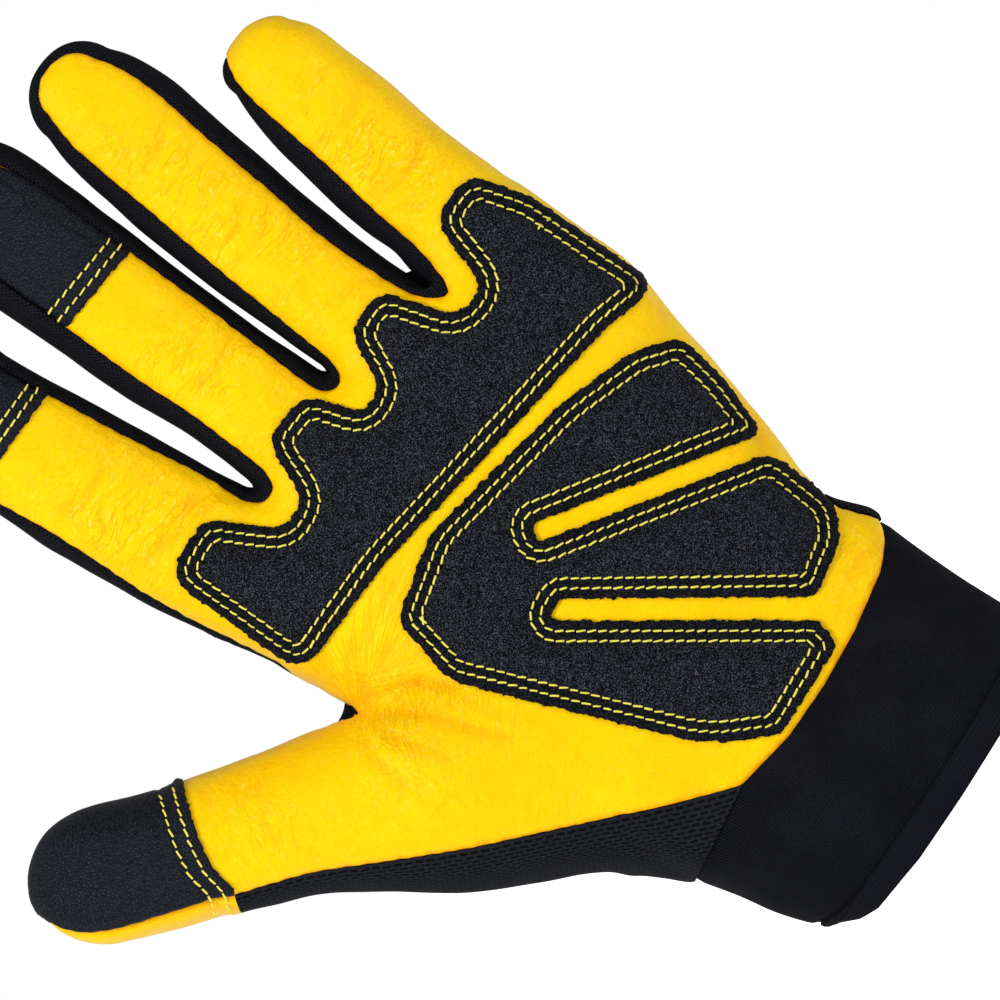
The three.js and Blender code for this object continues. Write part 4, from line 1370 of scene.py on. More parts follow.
@dataclass
class StitchTree:
    """Geometry nodes that lay stitches along a line: a bowed thread at every pitch."""

    pitch: float = 2.06 * MM
    length: float = 1.56 * MM
    radius: float = 0.21 * MM
    rise: float = 0.3 * MM
    dip: float = 0.12 * MM
    slant: float = 0.16
    swing: float = 0.1
    tree: bpy.types.NodeTree = field(init=False)

    def __post_init__(self) -> None:
        """Builds the tree once."""
        tree = bpy.data.node_groups.new("stitch_row", "GeometryNodeTree")
        self.tree = tree
        face = tree.interface
        face.new_socket("Geometry", in_out="INPUT", socket_type="NodeSocketGeometry")
        for name in ("pitch", "length", "radius", "rise", "dip", "slant", "swing"):
            socket = face.new_socket(name.title(), in_out="INPUT", socket_type="NodeSocketFloat")
            socket.default_value = getattr(self, name)
        face.new_socket("Seed", in_out="INPUT", socket_type="NodeSocketInt")
        face.new_socket("Thread", in_out="INPUT", socket_type="NodeSocketMaterial")
        face.new_socket("Geometry", in_out="OUTPUT", socket_type="NodeSocketGeometry")
        self.fill(Graph(tree))

    def fill(self, g: Graph) -> None:
        """Writes the tree's nodes."""
        given = g.add("NodeGroupInput").outputs
        placed = g.add("GeometryNodeInstanceOnPoints", {
            "Points": self.places(g, given),
            "Instance": self.stitch(g, given),
            "Rotation": self.standing(g),
            "Scale": self.random(g, given, 5.0, (0.88, 0.9, 0.85), (1.08, 1.1, 1.1)),
        }).outputs[0]
        either = g.add("FunctionNodeRandomValue", {2: -1.0, 3: 1.0, "Seed": given["Seed"]}, data_type="FLOAT")
        swing = g.math("MULTIPLY_ADD", either.outputs[1], given["Swing"], given["Slant"])
        swung = {"Instances": placed, "Rotation": g.joined(z=swing)}
        turned = g.add("GeometryNodeRotateInstances", swung).outputs[0]
        solid = g.add("GeometryNodeRealizeInstances", {"Geometry": turned}).outputs[0]
        smooth = g.add("GeometryNodeSetShadeSmooth", {"Geometry": solid}).outputs[0]
        thread = {"Geometry": smooth, "Material": given["Thread"]}
        dressed = g.add("GeometryNodeSetMaterial", thread).outputs[0]
        g.add("NodeGroupOutput", {"Geometry": dressed})

    def places(self, g: Graph, given: bpy.types.NodeOutputs) -> Socket:
        """Points along the line, a pitch apart."""
        curve = g.add("GeometryNodeMeshToCurve", {"Mesh": given["Geometry"]}).outputs[0]
        inputs = {"Curve": curve, "Length": given["Pitch"]}
        return g.add("GeometryNodeResampleCurve", inputs, mode="LENGTH").outputs[0]

    def standing(self, g: Graph) -> Socket:
        """The turn that lays a stitch along the line, with its back to the cloth."""
        up = g.add("GeometryNodeInputNamedAttribute", {"Name": "up"}, data_type="FLOAT_VECTOR").outputs[0]
        inputs = {"Primary Axis": up, "Secondary Axis": g.add("GeometryNodeInputTangent").outputs[0]}
        axes = {"primary_axis": "Z", "secondary_axis": "X"}
        return g.add("FunctionNodeAxesToRotation", inputs, **axes).outputs[0]

    def random(self, g: Graph, given: bpy.types.NodeOutputs, shift: float, low: tuple, high: tuple) -> Socket:
        """A random vector for each stitch."""
        inputs = {"Min": low, "Max": high, "Seed": g.math("ADD", given["Seed"], shift)}
        return g.add("FunctionNodeRandomValue", inputs, data_type="FLOAT_VECTOR").outputs[0]

    def stitch(self, g: Graph, given: bpy.types.NodeOutputs) -> Socket:
        """One stitch: a round thread bowed up between two holes."""
        half = g.math("MULTIPLY", given["Length"], 0.5)
        low = g.math("MULTIPLY", given["Dip"], -1.0)
        bow = g.add("GeometryNodeCurveQuadraticBezier", {
            "Resolution": 5,
            "Start": g.joined(g.math("MULTIPLY", half, -1.0), z=low),
            "Middle": g.joined(z=given["Rise"]),
            "End": g.joined(half, z=low),
        }).outputs[0]
        profile = {"Resolution": 6, "Radius": given["Radius"]}
        ring = g.add("GeometryNodeCurvePrimitiveCircle", profile).outputs[0]
        inputs = {"Curve": bow, "Profile Curve": ring, "Fill Caps": True}
        return g.add("GeometryNodeCurveToMesh", inputs).outputs[0]

    def sew(
        self, name: str, lines: list[tuple[np.ndarray, np.ndarray]], settings: dict[str, object],
    ) -> bpy.types.Object:
        """Sews along lines and leaves a plain mesh.

        Args:
            name: The object's name.
            lines: Points and upward directions of each line, in millimetres.
            settings: Values for the tree's inputs, by name.

        Returns:
            The stitches as one object.
        """
        points = np.vstack([line for line, _ in lines])
        ups = np.vstack([up for _, up in lines])
        edges, start = [], 0
        for line, _ in lines:
            edges += [(start + k, start + k + 1) for k in range(len(line) - 1)]
            start += len(line)
        mesh = bpy.data.meshes.new(name + "_line")
        mesh.from_pydata((points * MM).tolist(), edges, [])
        layer = mesh.attributes.new("up", "FLOAT_VECTOR", "POINT")
        layer.data.foreach_set("vector", ups.astype(np.float32).ravel())
        guide = bpy.data.objects.new(name + "_line", mesh)
        bpy.context.scene.collection.objects.link(guide)
        modifier = guide.modifiers.new("stitches", "NODES")
        modifier.node_group = self.tree
        for item in self.tree.interface.items_tree:
            if item.item_type == "SOCKET" and item.in_out == "INPUT" and item.name in settings:
                modifier[item.identifier] = settings[item.name]
        shown = guide.evaluated_get(bpy.context.evaluated_depsgraph_get())
        result = bpy.data.meshes.new_from_object(shown)
        bpy.data.objects.remove(guide)
        obj = bpy.data.objects.new(name, result)
        bpy.context.scene.collection.objects.link(obj)
        return obj


def flow_attributes(patch: Patch) -> dict[str, np.ndarray]:
    """Coordinates for the materials that follow the hand: across, along and deep of the nearest limb."""
    across, along, _ = THUMB.local(patch.rest)
    share = smooth_step((along - 60.0) / 30.0) * smooth_step((56.0 - across) / 14.0)
    x, y, z = patch.rest.T
    return {
        "across": x * (1 - share) + across * share,
        "along": z * (1 - share) + along * share,
        "deep": y,
    }


@dataclass(frozen=True)
class Look:
    """Everything that pieces are made of."""

    yellow: bpy.types.Material
    knit: bpy.types.Material
    mesh_knit: bpy.types.Material
    pad: bpy.types.Material
    grained: bpy.types.Material
    cuff: bpy.types.Material
    hem: bpy.types.Material
    thread: bpy.types.Material


def make_look() -> Look:
    """Builds every material once."""
    return Look(
        yellow=YellowLeather().build(),
        knit=BlackKnit().build(),
        mesh_knit=MeshKnit().build(),
        pad=PadFabric().build(),
        grained=GrainedLeather().build(),
        cuff=RibbedFabric("cuff_fabric", 0.5).build(),
        hem=RibbedFabric(
            "hem_fabric", 0.8, round_the_arm=True,
            color=(0.0085, 0.0095, 0.014, 1.0), groove_shade_color=(0.0045, 0.005, 0.0075, 1.0),
        ).build(),
        thread=Thread().build(),
    )


@dataclass
class Skin:
    """The whole outer surface of the glove before it is cut into pieces."""

    relief: Relief
    patch: Patch
    half_seam: float = 0.06
    half_cuff_seam: float = 0.08
    corner_left: float = 30.0
    corner_top: float = 60.0

    @staticmethod
    def drawn(step: float) -> Skin:
        """Draws the surface and lays its points on the form."""
        points, faces = draw_surface(step)
        rest, normal = FORM.project(points)
        return Skin(Relief(), Patch(rest, normal, faces).kept())

    def above_cuff(self) -> Patch:
        """The part above the cuff."""
        return self.patch.clip(self.relief.cuff_gap(self.patch) - self.half_cuff_seam)

    def side(self, zone: Zone) -> Patch:
        """The part above the cuff in front of the back seam, or behind it."""
        patch = self.above_cuff()
        sign = 1.0 if zone is Zone.BACK else -1.0
        gap = sign * self.relief.back_gap(patch) - self.half_seam
        if zone is Zone.BACK:
            x, z = patch.rest[:, 0], patch.rest[:, 2]
            past_leather = -self.relief.outline_gap(patch)[0] - self.half_seam
            corner = np.minimum.reduce([x - self.corner_left, self.corner_top - z, past_leather])
            gap = np.maximum(gap, corner)
        return patch.clip(gap)


def finish_piece(obj: bpy.types.Object, node: str | None) -> bpy.types.Object:
    """Puts a piece on the root body in place of its CAD node."""
    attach(obj, "root")
    if node:
        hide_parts(node)
    triangles = sum(len(p.vertices) - 2 for p in obj.data.polygons)
    LOG.info("%s: %d triangles", obj.name, triangles)
    return obj


CAP_LINES = {"index": ((-64.0, 183.0), (-28.0, 181.6)), "middle": ((-28.0, 186.6), (-1.5, 183.9))}
CAP_ROWS = {"thumb": (1.95, 4.75), "index": (2.1, 4.1), "middle": (2.05, 4.4)}


@dataclass(frozen=True)
class CapEdges:
    """Where the caps begin, and how far the leather is pressed in under them."""

    seen_at: float = 0.7
    sink: float = 0.85

    def line(self, digit: str, shift: float) -> np.ndarray:
        """The cap's lower edge in the front view, moved towards the tip."""
        if digit == "thumb":
            return np.array([thumb_point(across, along + shift) for across, along in THUMB_CAP_EDGE])
        return np.array([(x, z + shift) for x, z in CAP_LINES[digit]])

    def beyond(self, digit: str, patch: Patch) -> np.ndarray:
        """Distance past the cap's lower edge."""
        x, z = VIEW.seen(patch.rest + patch.normal * self.seen_at)
        if digit == "thumb":
            across, along, _ = THUMB.local(np.column_stack([x, x, z]))
            edge = np.interp(across, THUMB_CAP_EDGE[:, 0], THUMB_CAP_EDGE[:, 1])
            return np.minimum(along - edge, -66.0 - x - np.maximum(0.0, z - 128.0) * 2.0)
        (left, low), (right, high) = CAP_LINES[digit]
        return np.minimum.reduce([z - np.interp(x, (left, right), (low, high)), x - left, right - x])

    def pressed(self, beyond: np.ndarray | float) -> np.ndarray:
        """How far the leather is pressed in at a distance past a cap's edge."""
        return self.sink * smooth_step((beyond - 0.6) / 3.0)

    def sunk(self, patch: Patch, back_gap: np.ndarray) -> np.ndarray:
        """How far the leather is pressed in under any cap, fading out beside the back seam."""
        most = np.max([self.pressed(self.beyond(digit, patch)) for digit in CAP_ROWS], axis=0)
        return most * smooth_step(-back_gap / 4.0)


CAP_EDGES = CapEdges()


@dataclass(frozen=True)
class ShellPiece:
    """A cut of the skin made into a wall of cloth or leather."""

    name: str
    node: str
    slot: str
    zone: Zone
    wall: float = 1.4
    sewn_width: float = 6.0
    ridge_place: float = 3.4
    ridge: tuple[float, float] = (0.12, 1.2)

    def heights(self, skin: Skin, patch: Patch) -> tuple[np.ndarray, np.ndarray]:
        """Heights of the outer face and a measure of how deep in a hollow each point lies."""
        relief = skin.relief
        seams = relief.valleys(relief.back_gap(patch))
        if self.zone is Zone.FRONT:
            gap, place = relief.outline_gap(patch)
            beside = np.minimum(seams, relief.valleys(gap, place))
            seams = np.where(np.abs(gap) < self.sewn_width, beside, seams)
            seams += hump(np.abs(gap) - self.ridge_place, self.ridge) * (gap > 0)
        seams += relief.valleys(relief.cuff_gap(patch)) * 0.8
        return relief.unevenness(patch) + seams, seams

    def build(self, skin: Skin, patch: Patch, material: bpy.types.Material) -> bpy.types.Object:
        """Makes the piece from its cut of the skin.

        Args:
            skin: The whole surface.
            patch: The cut that belongs to this piece.
            material: What it is made of.

        Returns:
            The finished object.
        """
        height, seams = self.heights(skin, patch)
        # Depth in the seam valleys; the yellow leather darkens these with painted shade.
        hollow = smooth_step(-seams / 0.7)
        extra = flow_attributes(patch)
        if self.slot == "yellow_leather":
            folds = skin.relief.folds(patch)
            height = height + folds - CAP_EDGES.sunk(patch, skin.relief.back_gap(patch))
            # The folds deepen the painted shade as well.
            hollow = np.maximum(hollow, 0.5 * smooth_step(-folds / 0.5))
            extra["wrinkle"] = wrinkle_mask(patch)
            extra.update(crotch_rays(patch))
        elif self.zone is Zone.FRONT:
            extra["girth"], extra["along"] = skin.relief.outline_gap(patch)
        else:
            extra["girth"], _, extra["along"] = patch.rest.T
        points, faces = patch.thickened(height, height - self.wall)
        extra["hollow"] = hollow
        return finish_piece(dress(self.name, points, faces, material, extra), self.node)


def crotch_rays(patch: Patch) -> dict[str, np.ndarray]:
    """Coordinates and strength of the fine creases that run out from the crotch of the thumb, which the
    leather also darkens with painted shade.
    """
    x, y, z = patch.rest.T
    dx, dz = x - CROTCH[0], z - CROTCH[1]
    reach = np.hypot(dx, dz)
    strength = smooth_step(reach / 4.0) * smooth_step((44.0 - reach) / 22.0)
    strength *= smooth_step((dx + 2.0) / 4.0)
    strength *= 0.3 + 0.7 * smooth_step((dz + 9.0) / 14.0)
    rays = 0.95 * strength * smooth_step(-y / 6.0)
    return {"fan": np.arctan2(dz, dx) * 15.0, "reach": reach * 0.1, "rays": rays}


def wrinkle_mask(patch: Patch) -> np.ndarray:
    """How strongly the leather is creased: most at the joints of the digits and by the thumb. It also sets
    where the leather's painted crease shade and painted glints show.
    """
    x, _, z = patch.rest.T
    mask = np.full(len(x), 0.25)
    for centre_x, centre_z, width in WRINKLED:
        mask += 0.75 * np.exp(-((x - centre_x) ** 2 + (z - centre_z) ** 2) / width ** 2)
    return np.clip(mask, 0, 1)


CROTCH = (-52.0, 98.6)
WRINKLED = read_points("""
-46 162 12
-45 148 10
-13 162 12
-13 148 9
11 168 12
13 190 11
8 150 9
38 165 12
36 150 10
-46 98 9
-50 88 9
-38 80 7
40 70 8
26 36 10
-85 105 10
""")


PALM = ShellPiece("leather_palm", "palm_leather", "yellow_leather", Zone.FRONT)


def leather_height(skin: Skin, patch: Patch) -> np.ndarray:
    """Height of the palm leather under something sewn on it."""
    return PALM.heights(skin, patch)[0] + skin.relief.folds(patch) * 0.3


HALF_CUT = 0.015
SIDE_NAMES = {
    "fourchette_index_middle": "side_index_middle",
    "fourchette_middle_ring": "side_middle_ring",
    "fourchette_ring_little": "side_ring_little",
    "index_side_strip": "side_index",
    "thumb_side_strip": "side_thumb",
    "thumb_edge_strip": "edge_thumb",
}


@dataclass
class FrontPieces:
    """The leather palm and the black and yellow pieces sewn round it."""

    skin: Skin
    look: Look
    half_seam: float = 0.05
    strip_end: float = 135.6
    strip_gap: float = 0.1
    thumb_right: float = -20.0
    index_left: float = -64.0
    little_shift: float = 4.0
    front: Patch = field(init=False)
    gap: np.ndarray = field(init=False)

    def __post_init__(self) -> None:
        """Takes the front of the surface and measures it against the leather's edge."""
        self.front = self.skin.side(Zone.FRONT)
        self.gap = self.skin.relief.outline_gap(self.front)[0]

    def palm(self) -> bpy.types.Object:
        """The yellow leather palm."""
        return PALM.build(self.skin, self.front.clip(self.gap - self.half_seam), self.look.yellow)

    def sides(self) -> list[bpy.types.Object]:
        """The side pieces of the fingers and the thumb."""
        rest = self.front.clip(-self.gap - self.half_seam)
        x, z = rest.rest[:, 0], rest.rest[:, 2]
        along = THUMB.local(rest.rest)[1]
        finger_zone = np.minimum(x - FINGERS_FROM[0], z - FINGERS_FROM[1])

        def between(left: float, right: float) -> np.ndarray:
            """The part between two heights of x, a hair's breadth in from each."""
            return np.minimum.reduce([x - left - HALF_CUT, right - x - HALF_CUT, finger_zone])

        on_thumb = np.minimum(-finger_zone, self.thumb_right - x)
        tips = [finger.tip.across for finger in FINGERS]
        cuts = {
            "fourchette_index_middle": between(tips[0], tips[1]),
            "fourchette_middle_ring": between(tips[1], tips[2]),
            "fourchette_ring_little": between(tips[2], tips[3] + self.little_shift),
            "index_side_strip": between(self.index_left, tips[0]),
            "thumb_side_strip": np.minimum(on_thumb, self.strip_end - self.strip_gap - along),
            "thumb_edge_strip": np.minimum(on_thumb, along - self.strip_end - self.strip_gap),
        }
        finishes = {
            "thumb_side_strip": ("black_mesh_knit", self.look.mesh_knit),
            "thumb_edge_strip": ("yellow_leather", self.look.yellow),
        }
        made = []
        for node, value in cuts.items():
            slot, material = finishes.get(node, ("black_knit", self.look.knit))
            piece = ShellPiece(SIDE_NAMES[node], node, slot, Zone.FRONT)
            made.append(piece.build(self.skin, rest.clip(value), material))
        return made


@dataclass(frozen=True)
class Applied:
    """Sizes of a padded patch sewn on top of the leather."""

    edge: float
    border: float
    crown: float
    rows: tuple[float, ...]
    crown_from: float
    crown_width: float
    row: tuple[float, float] = (0.34, 0.55)
    ridge: tuple[float, float] = (0.14, 0.7)

    def height(self, inset: np.ndarray) -> np.ndarray:
        """Height of the patch above the leather at a distance inside its edge."""
        height = self.edge + (self.border - self.edge) * smooth_step(inset / 1.0)
        for place in self.rows:
            height = height - hump(inset - place, self.row)
        height = height + hump(inset - sum(self.rows) / len(self.rows), self.ridge)
        return height + self.crown * smooth_step((inset - self.crown_from) / self.crown_width) ** 0.8


PAD = Applied(edge=0.75, border=1.15, crown=1.25, rows=(2.0, 3.9), crown_from=4.2, crown_width=4.5)


@dataclass(frozen=True)
class Pads:
    """The two padded patches and their double rows of stitches."""

    skin: Skin
    look: Look
    stitches: StitchTree
    ragged: float = 0.2
    lift: float = 1.0
    softness: float = 0.28
    pucker: float = 0.1
    pucker_pitch: float = 2.3
    off_leather: float = 0.06
    thread_lift: float = 0.14

    def inset(self, outline: np.ndarray, patch: Patch) -> tuple[np.ndarray, np.ndarray]:
        """Distance inside an outline of the front view, seen at the pad's height, and the place along it."""
        return outline_distance(outline, *VIEW.seen(patch.rest + patch.normal * self.lift))[:2]

    def build(
        self, name: str, node: str, corners: np.ndarray, seed: int, tacks: tuple[Line, ...] = (),
    ) -> list[bpy.types.Object]:
        """Makes one pad and sews it down.

        Args:
            name: The object's name.
            node: The CAD node that it replaces.
            corners: Its outline's corners.
            seed: Seed of its unevenness.
            tacks: Ends of the short stitches that join its two rows.

        Returns:
            The pad and its stitches.
        """
        outline = rounded(corners)
        source = self.skin.side(Zone.FRONT)
        source = source.clip(-source.normal[:, 1] - 0.02)
        rough = outline_distance(outline, *VIEW.seen(source.rest))[0]
        patch = source.clip(rough + 2.5)
        patch = patch.split()
        inset = self.inset(outline, patch)[0]
        ragged = self.ragged * (0.7 * Noise(seed, 2.2)(patch.rest) + Noise(seed + 1, 1.0)(patch.rest))
        patch = patch.clip(inset + ragged)
        inset, place = self.inset(outline, patch)
        base = leather_height(self.skin, patch)
        beside_rows = bell(inset - PAD.rows[0], 1.0) + bell(inset - PAD.rows[1], 1.2)
        pucker = self.pucker * np.cos(place * 2 * np.pi / self.pucker_pitch) * beside_rows
        soft = self.softness * Noise(seed + 2, 15.0)(patch.rest) * smooth_step((inset - 4.0) / 4.0)
        height = PAD.height(np.maximum(inset, 0.0)) + pucker + soft
        points, faces = patch.thickened(base + height, base + self.off_leather)
        # Where painted shade darkens the pad, from its edge in to the padded crown.
        border = smooth_step((PAD.crown_from + 0.6 - inset) / 1.2)
        obj = dress(name, points, faces, self.look.pad, {"border": border}, crease_angle=60.0)
        finish_piece(obj, node)
        lines = [self.row(outline, inset_line(outline, distance)) for distance in PAD.rows]
        lines += [self.row(outline, respaced(np.array(tack), 0.4)) for tack in tacks]
        rows = self.stitches.sew(name + "_stitches", lines, {"Seed": seed, "Thread": self.look.thread})
        return [obj, finish_piece(rows, None)]

    def row(self, outline: np.ndarray, line: np.ndarray) -> tuple[np.ndarray, np.ndarray]:
        """Lays a stitch line of the front view on a pad."""
        points, normal = on_front(line[:, 0], line[:, 1], self.lift)
        under = Patch(points, normal, np.zeros((0, 3), int))
        inset = outline_distance(outline, line[:, 0], line[:, 1])[0]
        height = leather_height(self.skin, under) + PAD.height(inset) + self.thread_lift
        return points + normal * height[:, None], normal


@dataclass(frozen=True)
class Caps:
    """The grained caps on the thumb, the index finger and the middle finger."""

    skin: Skin
    look: Look
    stitches: StitchTree
    row_groove: tuple[float, float] = (0.25, 0.5)
    margin: float = 2.0
    side_gap: float = 0.25
    ragged: float = 0.2
    edge: float = 0.55
    thickness: float = 1.0
    thin: float = 0.15
    fade: float = 5.0
    off_leather: float = 0.06

    def build(self, digit: str, seed: int) -> list[bpy.types.Object]:
        """Makes one cap with its two rows of stitches."""
        source = self.skin.side(Zone.FRONT)
        gap = self.skin.relief.outline_gap(source)[0]
        patch = source.clip(np.minimum(CAP_EDGES.beyond(digit, source), gap) + self.margin)
        patch = patch.split()
        patch = patch.clip(self.skin.relief.outline_gap(patch)[0] - self.side_gap)
        patch = patch.clip(CAP_EDGES.beyond(digit, patch) + self.ragged * Noise(seed, 1.1, 30)(patch.rest))
        patch = patch.clip(-self.skin.relief.back_gap(patch) - 0.02)
        beyond = CAP_EDGES.beyond(digit, patch)
        gap = self.skin.relief.outline_gap(patch)[0]
        back_gap = self.skin.relief.back_gap(patch)
        base = leather_height(self.skin, patch) - CAP_EDGES.sunk(patch, back_gap)
        rows = sum(hump(beyond - row, self.row_groove) for row in CAP_ROWS[digit])
        height = self.edge + (self.thickness - self.edge) * smooth_step(beyond / 0.8)
        height = height * (0.25 + 0.75 * smooth_step(gap / 1.6)) - rows
        height = height * self.share(back_gap)
        under = np.minimum(self.off_leather, 0.4 * height)
        points, faces = patch.thickened(base + height, base + under)
        name = digit + "_cap_leather"
        obj = dress(name, points, faces, self.look.grained, crease_angle=60.0)
        finish_piece(obj, digit + "_cap")
        lines = [self.row(digit, shift) for shift in CAP_ROWS[digit]]
        sewn = self.stitches.sew(name + "_stitches", lines, {"Seed": seed, "Thread": self.look.thread})
        return [obj, finish_piece(sewn, None)]

    def share(self, back_gap: np.ndarray) -> np.ndarray:
        """How much of the thickness is left near the back seam."""
        return self.thin + (1 - self.thin) * smooth_step(-back_gap / self.fade)

    def row(self, digit: str, shift: float) -> tuple[np.ndarray, np.ndarray]:
        """Lays one stitch line across a cap, from seam to seam."""
        line = respaced(CAP_EDGES.line(digit, shift), 0.4)
        gap = outline_distance(self.skin.relief.outline, line[:, 0], line[:, 1])[0]
        inside = FORM.value(np.column_stack([line[:, 0], np.full(len(line), -6.0), line[:, 1]]))
        keep = ((gap > 0.4) | ((gap < -0.7) & (digit == "thumb"))) & (inside < -0.8)
        line, gap = line[keep], gap[keep]
        points, normal = on_front(line[:, 0], line[:, 1], 0.5)
        under = Patch(points, normal, np.zeros((0, 3), int))
        thick = np.where(gap > 0, self.share(self.skin.relief.back_gap(under)), self.thin)
        height = leather_height(self.skin, under) + thick - CAP_EDGES.pressed(shift) * thick
        return points + normal * height[:, None], normal


@dataclass(frozen=True)
class Wrist:
    """The cuff and the band round its rim."""

    skin: Skin
    look: Look
    wall: float = 2.0
    tuck: float = 0.4
    half_seam: float = 0.05
    cuff_lift: float = -0.5
    cuff_softness: float = 0.25
    hem_groove: tuple[float, float] = (0.45, 0.9)
    top_groove: tuple[float, float] = (0.4, 1.2)
    band_lift: float = 0.25
    band_softness: float = 0.15
    band_groove: tuple[float, float] = (0.55, 0.7)
    rim_groove: tuple[float, float] = (0.7, 0.8)
    centre: float = -2.5
    half_width: float = 36.0
    half_depth: float = 23.0
    squareness: float = 2.5

    def over(self, line: np.ndarray, patch: Patch) -> np.ndarray:
        """Height over a line of the front view."""
        x, z = VIEW.seen(patch.rest)
        return z - np.interp(x, line[:, 0], line[:, 1])

    def girth(self, patch: Patch) -> np.ndarray:
        """Place round the arm in millimetres, for ribs that run along it."""
        turn = np.linspace(-np.pi, np.pi, 721)
        dx, dy = np.cos(turn), np.sin(turn)
        n = self.squareness
        r = (np.abs(dx / self.half_width) ** n + np.abs(dy / self.half_depth) ** n) ** (-1 / n)
        ring = np.column_stack([r * dx, r * dy])
        along = np.concatenate([[0.0], np.cumsum(np.linalg.norm(np.diff(ring, axis=0), axis=1))])
        x, y = patch.rest[:, 0] - self.centre, patch.rest[:, 1]
        return np.interp(np.arctan2(y, x), turn, along)

    def make(
        self, name: str, node: str, patch: Patch, height: np.ndarray, material: bpy.types.Material,
    ) -> bpy.types.Object:
        """Closes one band of the wrist."""
        points, faces = patch.thickened(height, np.full(len(height), -self.wall))
        extra = {"girth": self.girth(patch), "along": patch.rest[:, 2]}
        return finish_piece(dress(name, points, faces, material, extra), node)

    def build(self) -> list[bpy.types.Object]:
        """Makes the cuff and its band."""
        whole = self.skin.patch
        below = whole.clip(-self.skin.relief.cuff_gap(whole) - self.skin.half_cuff_seam)
        cuff = below.clip(self.over(HEM_SEAM, below) + self.tuck)
        band = below.clip(-self.half_seam - self.over(HEM_SEAM, below))
        band = band.clip(self.over(RIM, band))
        relief = self.skin.relief
        cuff_height = self.cuff_lift + self.cuff_softness * relief.soft(cuff.rest)
        cuff_height -= hump(self.over(HEM_SEAM, cuff), self.hem_groove)
        cuff_height -= hump(relief.cuff_gap(cuff), self.top_groove)
        band_height = self.band_lift + self.band_softness * relief.soft(band.rest)
        band_height -= hump(self.over(HEM_SEAM, band), self.band_groove)
        band_height -= hump(self.over(RIM, band), self.rim_groove)
        return [
            self.make("wrist_cuff", "cuff", cuff, cuff_height, self.look.cuff),
            self.make("wrist_hem", "cuff_hem", band, band_height, self.look.hem),
        ]


@dataclass(frozen=True)
class Lamp:
    """A soft square lamp, its place and size in metres and its power in watts."""

    name: str
    place: tuple[float, float, float]
    size: float
    power: float


LAMPS = (
    Lamp("key", (-0.8, -1.05, 1.0), 0.6, 15.5),
    Lamp("fill", (0.9, -1.0, 0.1), 0.8, 4.6),
)


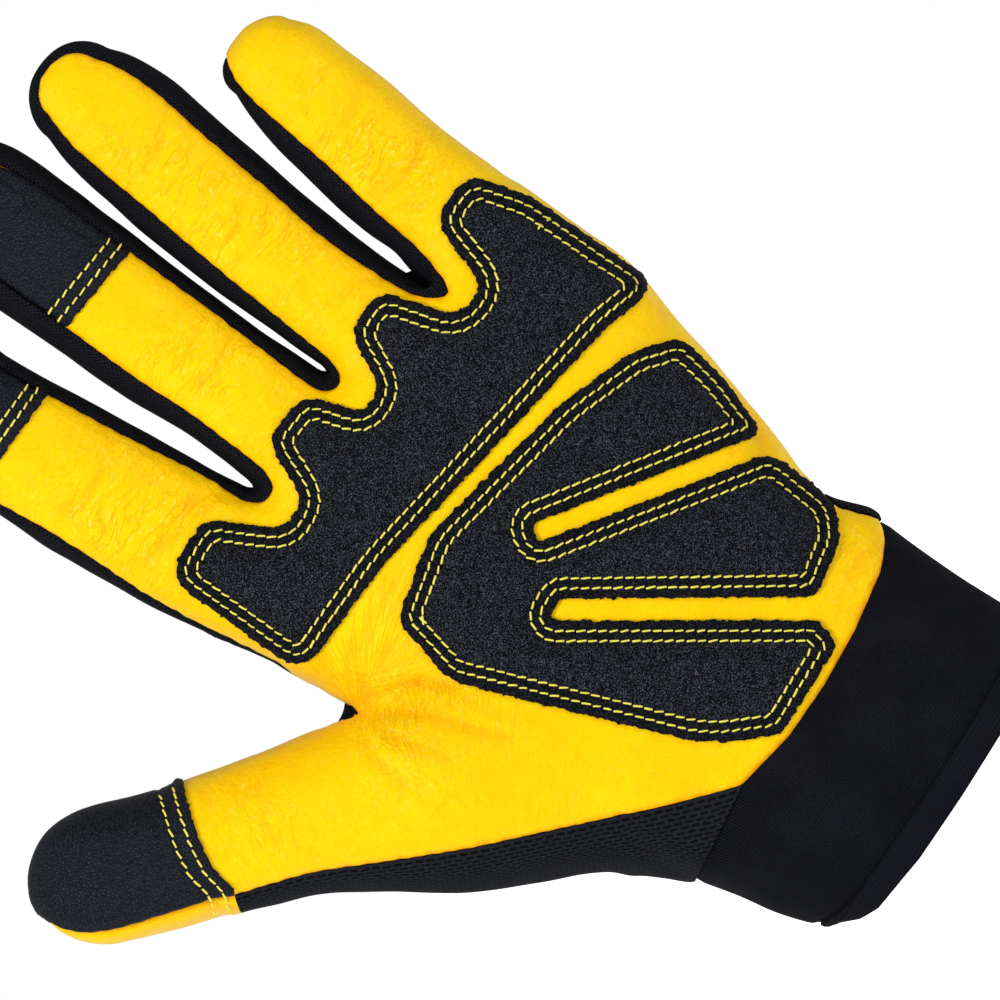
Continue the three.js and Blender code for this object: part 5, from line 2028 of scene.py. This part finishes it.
@dataclass(frozen=True)
class Studio:
    """Floor, light and camera."""

    floor_z: float = -0.0065
    distance: float = 1.5
    width: float = 0.19
    target: tuple[float, float, float] = (-0.0036, -0.008, 0.0994)
    surround: float = 0.34
    floor_size: float = 12.0
    floor_color: Color = (0.9, 0.9, 0.9, 1.0)
    sensor: float = 36.0
    far: float = 50.0
    roll: tuple[float, float] = (0.5592, 0.829)

    def seen_or_not(self, graph: Graph, light: float, seen: float) -> Socket:
        """A strength that is softer as a light than as a pale background."""
        shown = graph.add("ShaderNodeLightPath").outputs["Is Camera Ray"]
        return graph.ramp(shown, 0.0, 1.0, light, seen)

    def floor(self, glove_low: float) -> None:
        """Lays a large pale floor just below the cuff."""
        height = min(self.floor_z, glove_low - MM)
        bpy.ops.mesh.primitive_plane_add(size=self.floor_size, location=(0, 0, height))
        floor = bpy.context.object
        floor.name = "floor"
        material = bpy.data.materials.new("floor")
        material.use_nodes = True
        surface = material.node_tree.nodes["Principled BSDF"]
        surface.inputs["Base Color"].default_value = self.floor_color
        surface.inputs["Roughness"].default_value = 0.9
        surface.inputs["Emission Color"].default_value = WHITE
        g = Graph(material.node_tree)
        g.link(surface, {"Emission Strength": self.seen_or_not(g, self.surround, 1.0)})
        floor.data.materials.append(material)
        floor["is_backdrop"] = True

    def light(self) -> None:
        """Sets a pale surround and soft lamps."""
        world = bpy.data.worlds.new("surround")
        bpy.context.scene.world = world
        world.use_nodes = True
        g = Graph(world.node_tree)
        back = world.node_tree.nodes["Background"]
        back.inputs["Color"].default_value = WHITE
        g.link(back, {"Strength": self.seen_or_not(g, self.surround, 1.0)})
        for lamp in LAMPS:
            data = bpy.data.lights.new(lamp.name, "AREA")
            data.size = lamp.size
            data.energy = lamp.power
            obj = bpy.data.objects.new(lamp.name, data)
            obj.location = lamp.place
            aim = Vector(self.target) - Vector(lamp.place)
            obj.rotation_euler = aim.to_track_quat("-Z", "Y").to_euler()
            bpy.context.scene.collection.objects.link(obj)

    def camera(self) -> None:
        """Sets the camera to the photo's view, with its roll."""
        data = bpy.data.cameras.new("view")
        data.sensor_width = self.sensor
        data.lens = self.sensor * self.distance / self.width
        data.clip_end = self.far
        camera = bpy.data.objects.new("view", data)
        cosine, sine = self.roll
        turn = Matrix(((cosine, sine, 0.0), (0.0, 0.0, -1.0), (-sine, cosine, 0.0)))
        place = Vector(self.target) + Vector((0, -self.distance, 0))
        camera.matrix_world = Matrix.Translation(place) @ turn.to_4x4()
        bpy.context.scene.collection.objects.link(camera)
        bpy.context.scene.camera = camera

    def build(self, glove_low: float) -> None:
        """Sets everything up."""
        self.floor(glove_low)
        self.light()
        self.camera()
        scene = bpy.context.scene
        scene.view_settings.view_transform = "Standard"
        scene.view_settings.look = "None"


def main() -> None:
    """Builds the glove piece by piece, then the studio."""
    logging.basicConfig(level=logging.INFO, format="%(message)s", stream=sys.stdout)
    look = make_look()
    stitches = StitchTree()
    skin = Skin.drawn(GRID_STEP)
    LOG.info("skin: %d points", len(skin.patch.rest))
    front = FrontPieces(skin, look)
    front.palm()
    front.sides()
    back = ShellPiece("back_knit", "back_panel", "black_knit", Zone.BACK)
    back.build(skin, skin.side(Zone.BACK), look.knit)
    pads = Pads(skin, look, stitches)
    pads.build("pad_knuckles", "knuckle_pad", KNUCKLE_PAD, 11, tacks=(((45.7, 121.6), (43.5, 122.2)),))
    pads.build("pad_heel", "heel_pad", HEEL_PAD, 21)
    caps = Caps(skin, look, stitches)
    for seed, digit in enumerate(("thumb", "index", "middle"), start=31):
        caps.build(digit, seed)
    Wrist(skin, look).build()
    Studio().build(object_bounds()[0][2])


if __name__ == "__main__":
    main()
